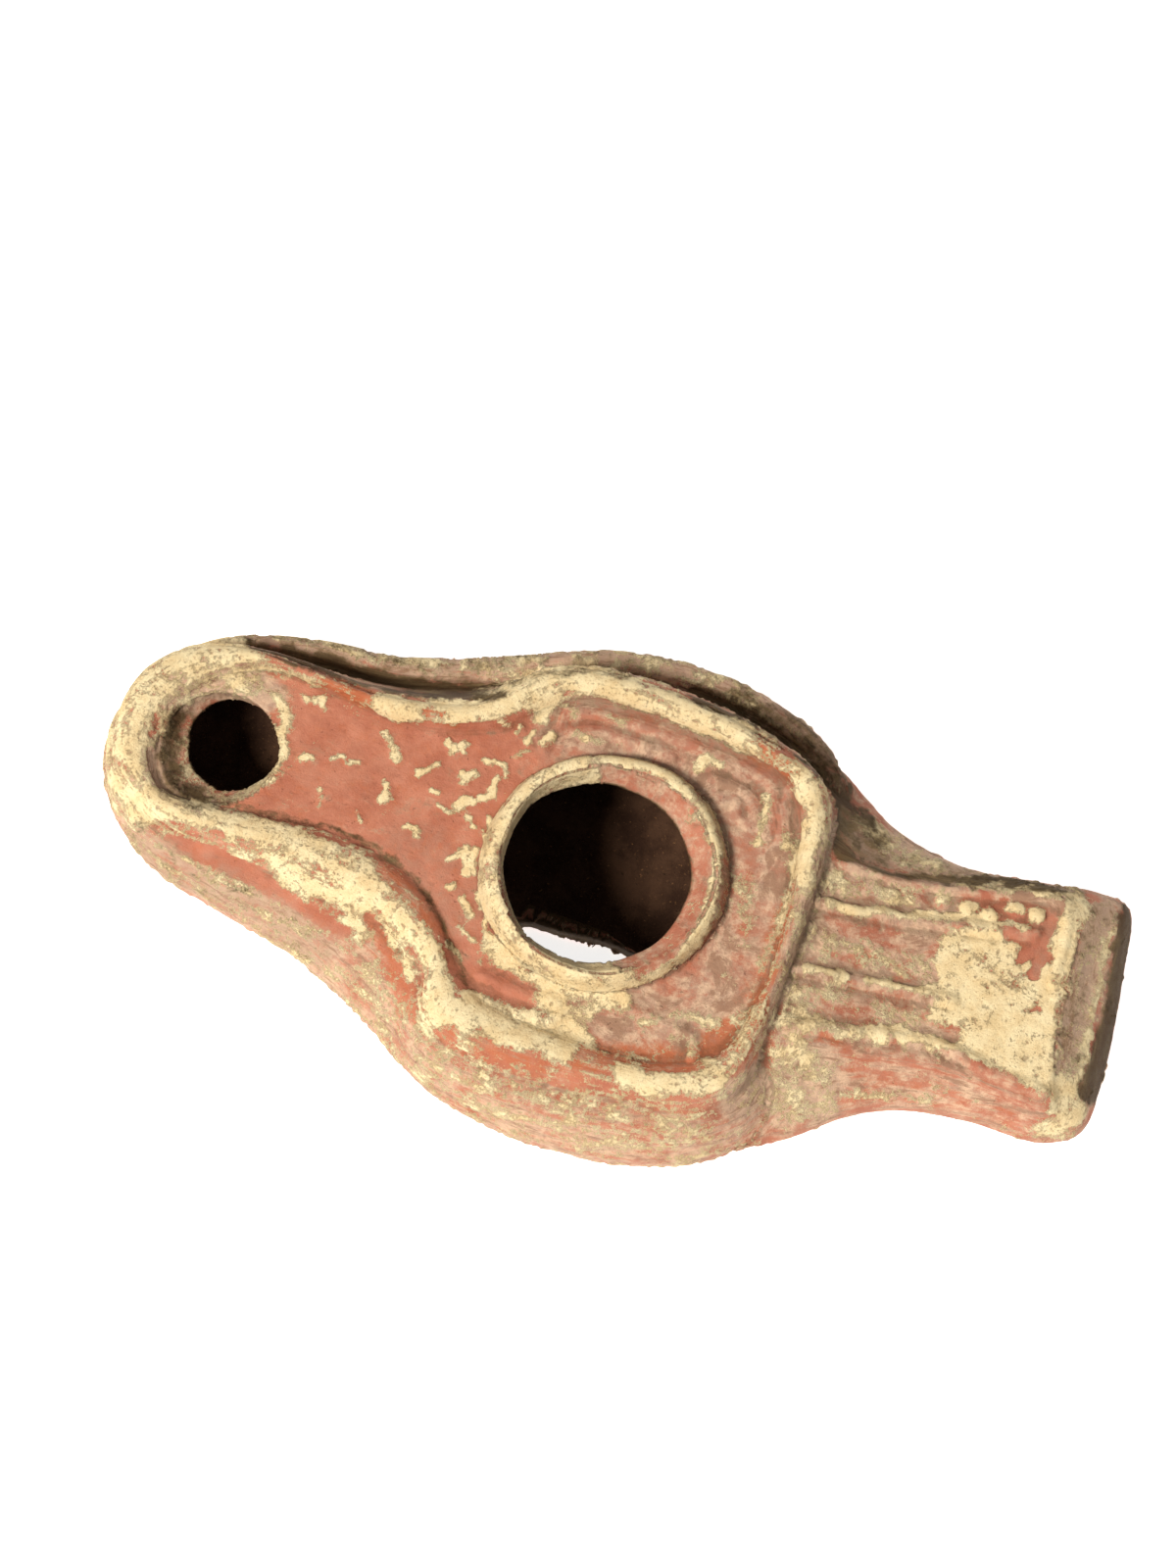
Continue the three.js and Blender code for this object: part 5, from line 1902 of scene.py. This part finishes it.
@dataclass
class OilLamp:
    """The lamp's one piece of clay: form, paint and surface."""

    bowl: Bowl = field(default_factory=Bowl)
    handle: Handle = field(default_factory=Handle)
    relief: Relief = field(default_factory=Relief)
    painter: Painter = field(default_factory=Painter)
    finish: ClayFinish = field(default_factory=ClayFinish)

    def form(self) -> bpy.types.Object:
        """Joins and cuts the clay's solids into one closed mesh.

        Returns:
            The clay.
        """
        bowl = self.bowl
        clay = bowl.outer()
        carve(clay, self.handle.solid(), Cut.JOIN)
        carve(clay, bowl.ring(), Cut.JOIN)
        for taken in (bowl.hollow(), bowl.mouth.solid(), bowl.dish.solid(), bowl.base_break()):
            carve(clay, taken, Cut.TAKE)
        return clay

    def mark_weld(self, mesh: bpy.types.Mesh) -> None:
        """Marks the points where the handle grows out of the bowl, as the attribute "weld".

        Args:
            mesh: the clay's mesh.
        """
        band = read_marks(mesh, "band")
        handle, bowl = Band.HANDLE.covers(band), Band.BODY.covers(band)
        edges = np.zeros(len(mesh.edges) * 2, np.int32)
        mesh.edges.foreach_get("vertices", edges)
        a, b = edges.reshape(-1, 2).T
        across = (handle[a] & bowl[b]) | (handle[b] & bowl[a])
        weld = np.zeros(len(band))
        weld[a[across]] = weld[b[across]] = 1.0
        write_marks(mesh, "weld", weld)

    def mark_place(self, mesh: bpy.types.Mesh) -> None:
        """Keeps each point's place in millimetres, which the finishes read."""
        made = mesh.attributes.new("place", "FLOAT_VECTOR", "POINT")
        made.data.foreach_set("vector", read_points(mesh).reshape(-1))

    def settle(self, mesh: bpy.types.Mesh) -> None:
        """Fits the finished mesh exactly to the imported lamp's box, in metres.

        Args:
            mesh: the clay's mesh.
        """
        low, high = (np.array(corner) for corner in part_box(CLAY_NODE))
        points = read_points(mesh).astype(float)
        least, most = points.min(0), points.max(0)
        points = low + (points - least) / (most - least) * (high - low)
        mesh.vertices.foreach_set("co", points.astype(np.float32).reshape(-1))
        mesh.update()

    def build(self) -> bpy.types.Object:
        """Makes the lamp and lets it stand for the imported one.

        Returns:
            The lamp.
        """
        clay = self.form()
        self.mark_weld(clay.data)
        self.mark_place(clay.data)
        self.painter.paint(clay.data)
        grain_tree, crust_tree = grain_group(), crust_group()
        self.relief.dress(clay, self.handle, self.finish.outside(grain_tree, crust_tree),
                          self.finish.inside(grain_tree))
        self.settle(clay.data)
        clay.name = clay.data.name = "oil_lamp_clay"
        triangles = sum(len(face.vertices) - 2 for face in clay.data.polygons)
        LOG.info("%s: %d points, %d triangles", clay.name, len(clay.data.vertices), triangles)
        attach(clay, BODY)
        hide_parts(CLAY_NODE)
        return clay


# ---- camera, floor and light ---------------------------------------------------------------------


@dataclass
class Studio:
    """The camera, the pale floor and the soft light."""

    target: Place = (1.2, 0.65, 20.0)
    azimuth: float = 16.5
    elevation: float = 74.0
    distance: float = 420.0
    lens: float = 92.1
    shift: Point = (-0.02, 0.0656)
    clip: Point = (0.01, 50.0)
    key_way: Place = (-0.34, -0.44, 0.83)
    key_distance: float = 0.95
    key_size: float = 0.2
    key_power: float = 10.4
    key_colour: Place = (1.0, 0.965, 0.91)
    sky: float = 0.36
    sky_colour: Colour = (0.97, 0.985, 1.0, 1.0)
    floor_radius: float = 6.0
    floor_sides: int = 64
    floor_z: float = -0.00005
    floor_glow: float = 0.85
    floor_colour: Colour = srgb(250, 249, 247)

    def aim(self, name: str, data: bpy.types.ID, place: Vector, way: Vector) -> bpy.types.Object:
        """Puts a camera or a light in the scene.

        Args:
            name: the object's name.
            data: the camera or the light.
            place: where it stands, in metres.
            way: the way back from what it looks at.

        Returns:
            The new object.
        """
        made = new_object(name, data)
        made.location = place
        made.rotation_euler = way.to_track_quat("Z", "Y").to_euler()
        return made

    def camera(self) -> None:
        """Looks down at the lamp from its front, a little to its right."""
        azimuth, elevation = math.radians(self.azimuth), math.radians(self.elevation)
        back = Vector((math.cos(elevation) * math.sin(azimuth),
                       -math.cos(elevation) * math.cos(azimuth), math.sin(elevation)))
        data = bpy.data.cameras.new("camera")
        data.lens = self.lens
        data.shift_x, data.shift_y = self.shift
        data.clip_start, data.clip_end = self.clip
        place = (Vector(self.target) + back * self.distance) * MM
        bpy.context.scene.camera = self.aim("camera", data, place, back)

    def floor(self) -> None:
        """Lays a plain pale floor under the lamp."""
        rim = [(self.floor_radius * math.cos(a), self.floor_radius * math.sin(a), self.floor_z)
               for a in turns(self.floor_sides)]
        made = new_mesh("floor", rim, [], [list(range(len(rim)))])
        paint = bpy.data.materials.new("Pale floor")
        paint.use_nodes = True
        shader = paint.node_tree.nodes["Principled BSDF"]
        for name, value in (("Base Color", self.floor_colour), ("Roughness", 0.9),
                            ("Specular IOR Level", 0.1), ("Emission Color", self.floor_colour),
                            ("Emission Strength", self.floor_glow)):
            shader.inputs[name].default_value = value
        made.data.materials.append(paint)

    def light(self) -> None:
        """Hangs a soft key to the lamp's front left, under an even pale sky."""
        data = bpy.data.lights.new("key", "AREA")
        data.shape, data.size = "DISK", self.key_size
        data.energy, data.color = self.key_power, self.key_colour
        way = Vector(self.key_way).normalized()
        self.aim("key", data, way * self.key_distance, way)
        world = bpy.data.worlds.new("pale sky")
        world.use_nodes = True
        sky = world.node_tree.nodes["Background"]
        sky.inputs["Color"].default_value = self.sky_colour
        sky.inputs["Strength"].default_value = self.sky
        bpy.context.scene.world = world
        bpy.context.scene.view_settings.view_transform = "Standard"

    def build(self) -> None:
        """Makes the camera, the light and the floor."""
        self.camera()
        self.light()
        self.floor()


def main() -> None:
    """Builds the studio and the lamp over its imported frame."""
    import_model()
    Studio().build()
    OilLamp().build()


if __name__ == "__main__":
    logging.basicConfig(level=logging.INFO)
    main()
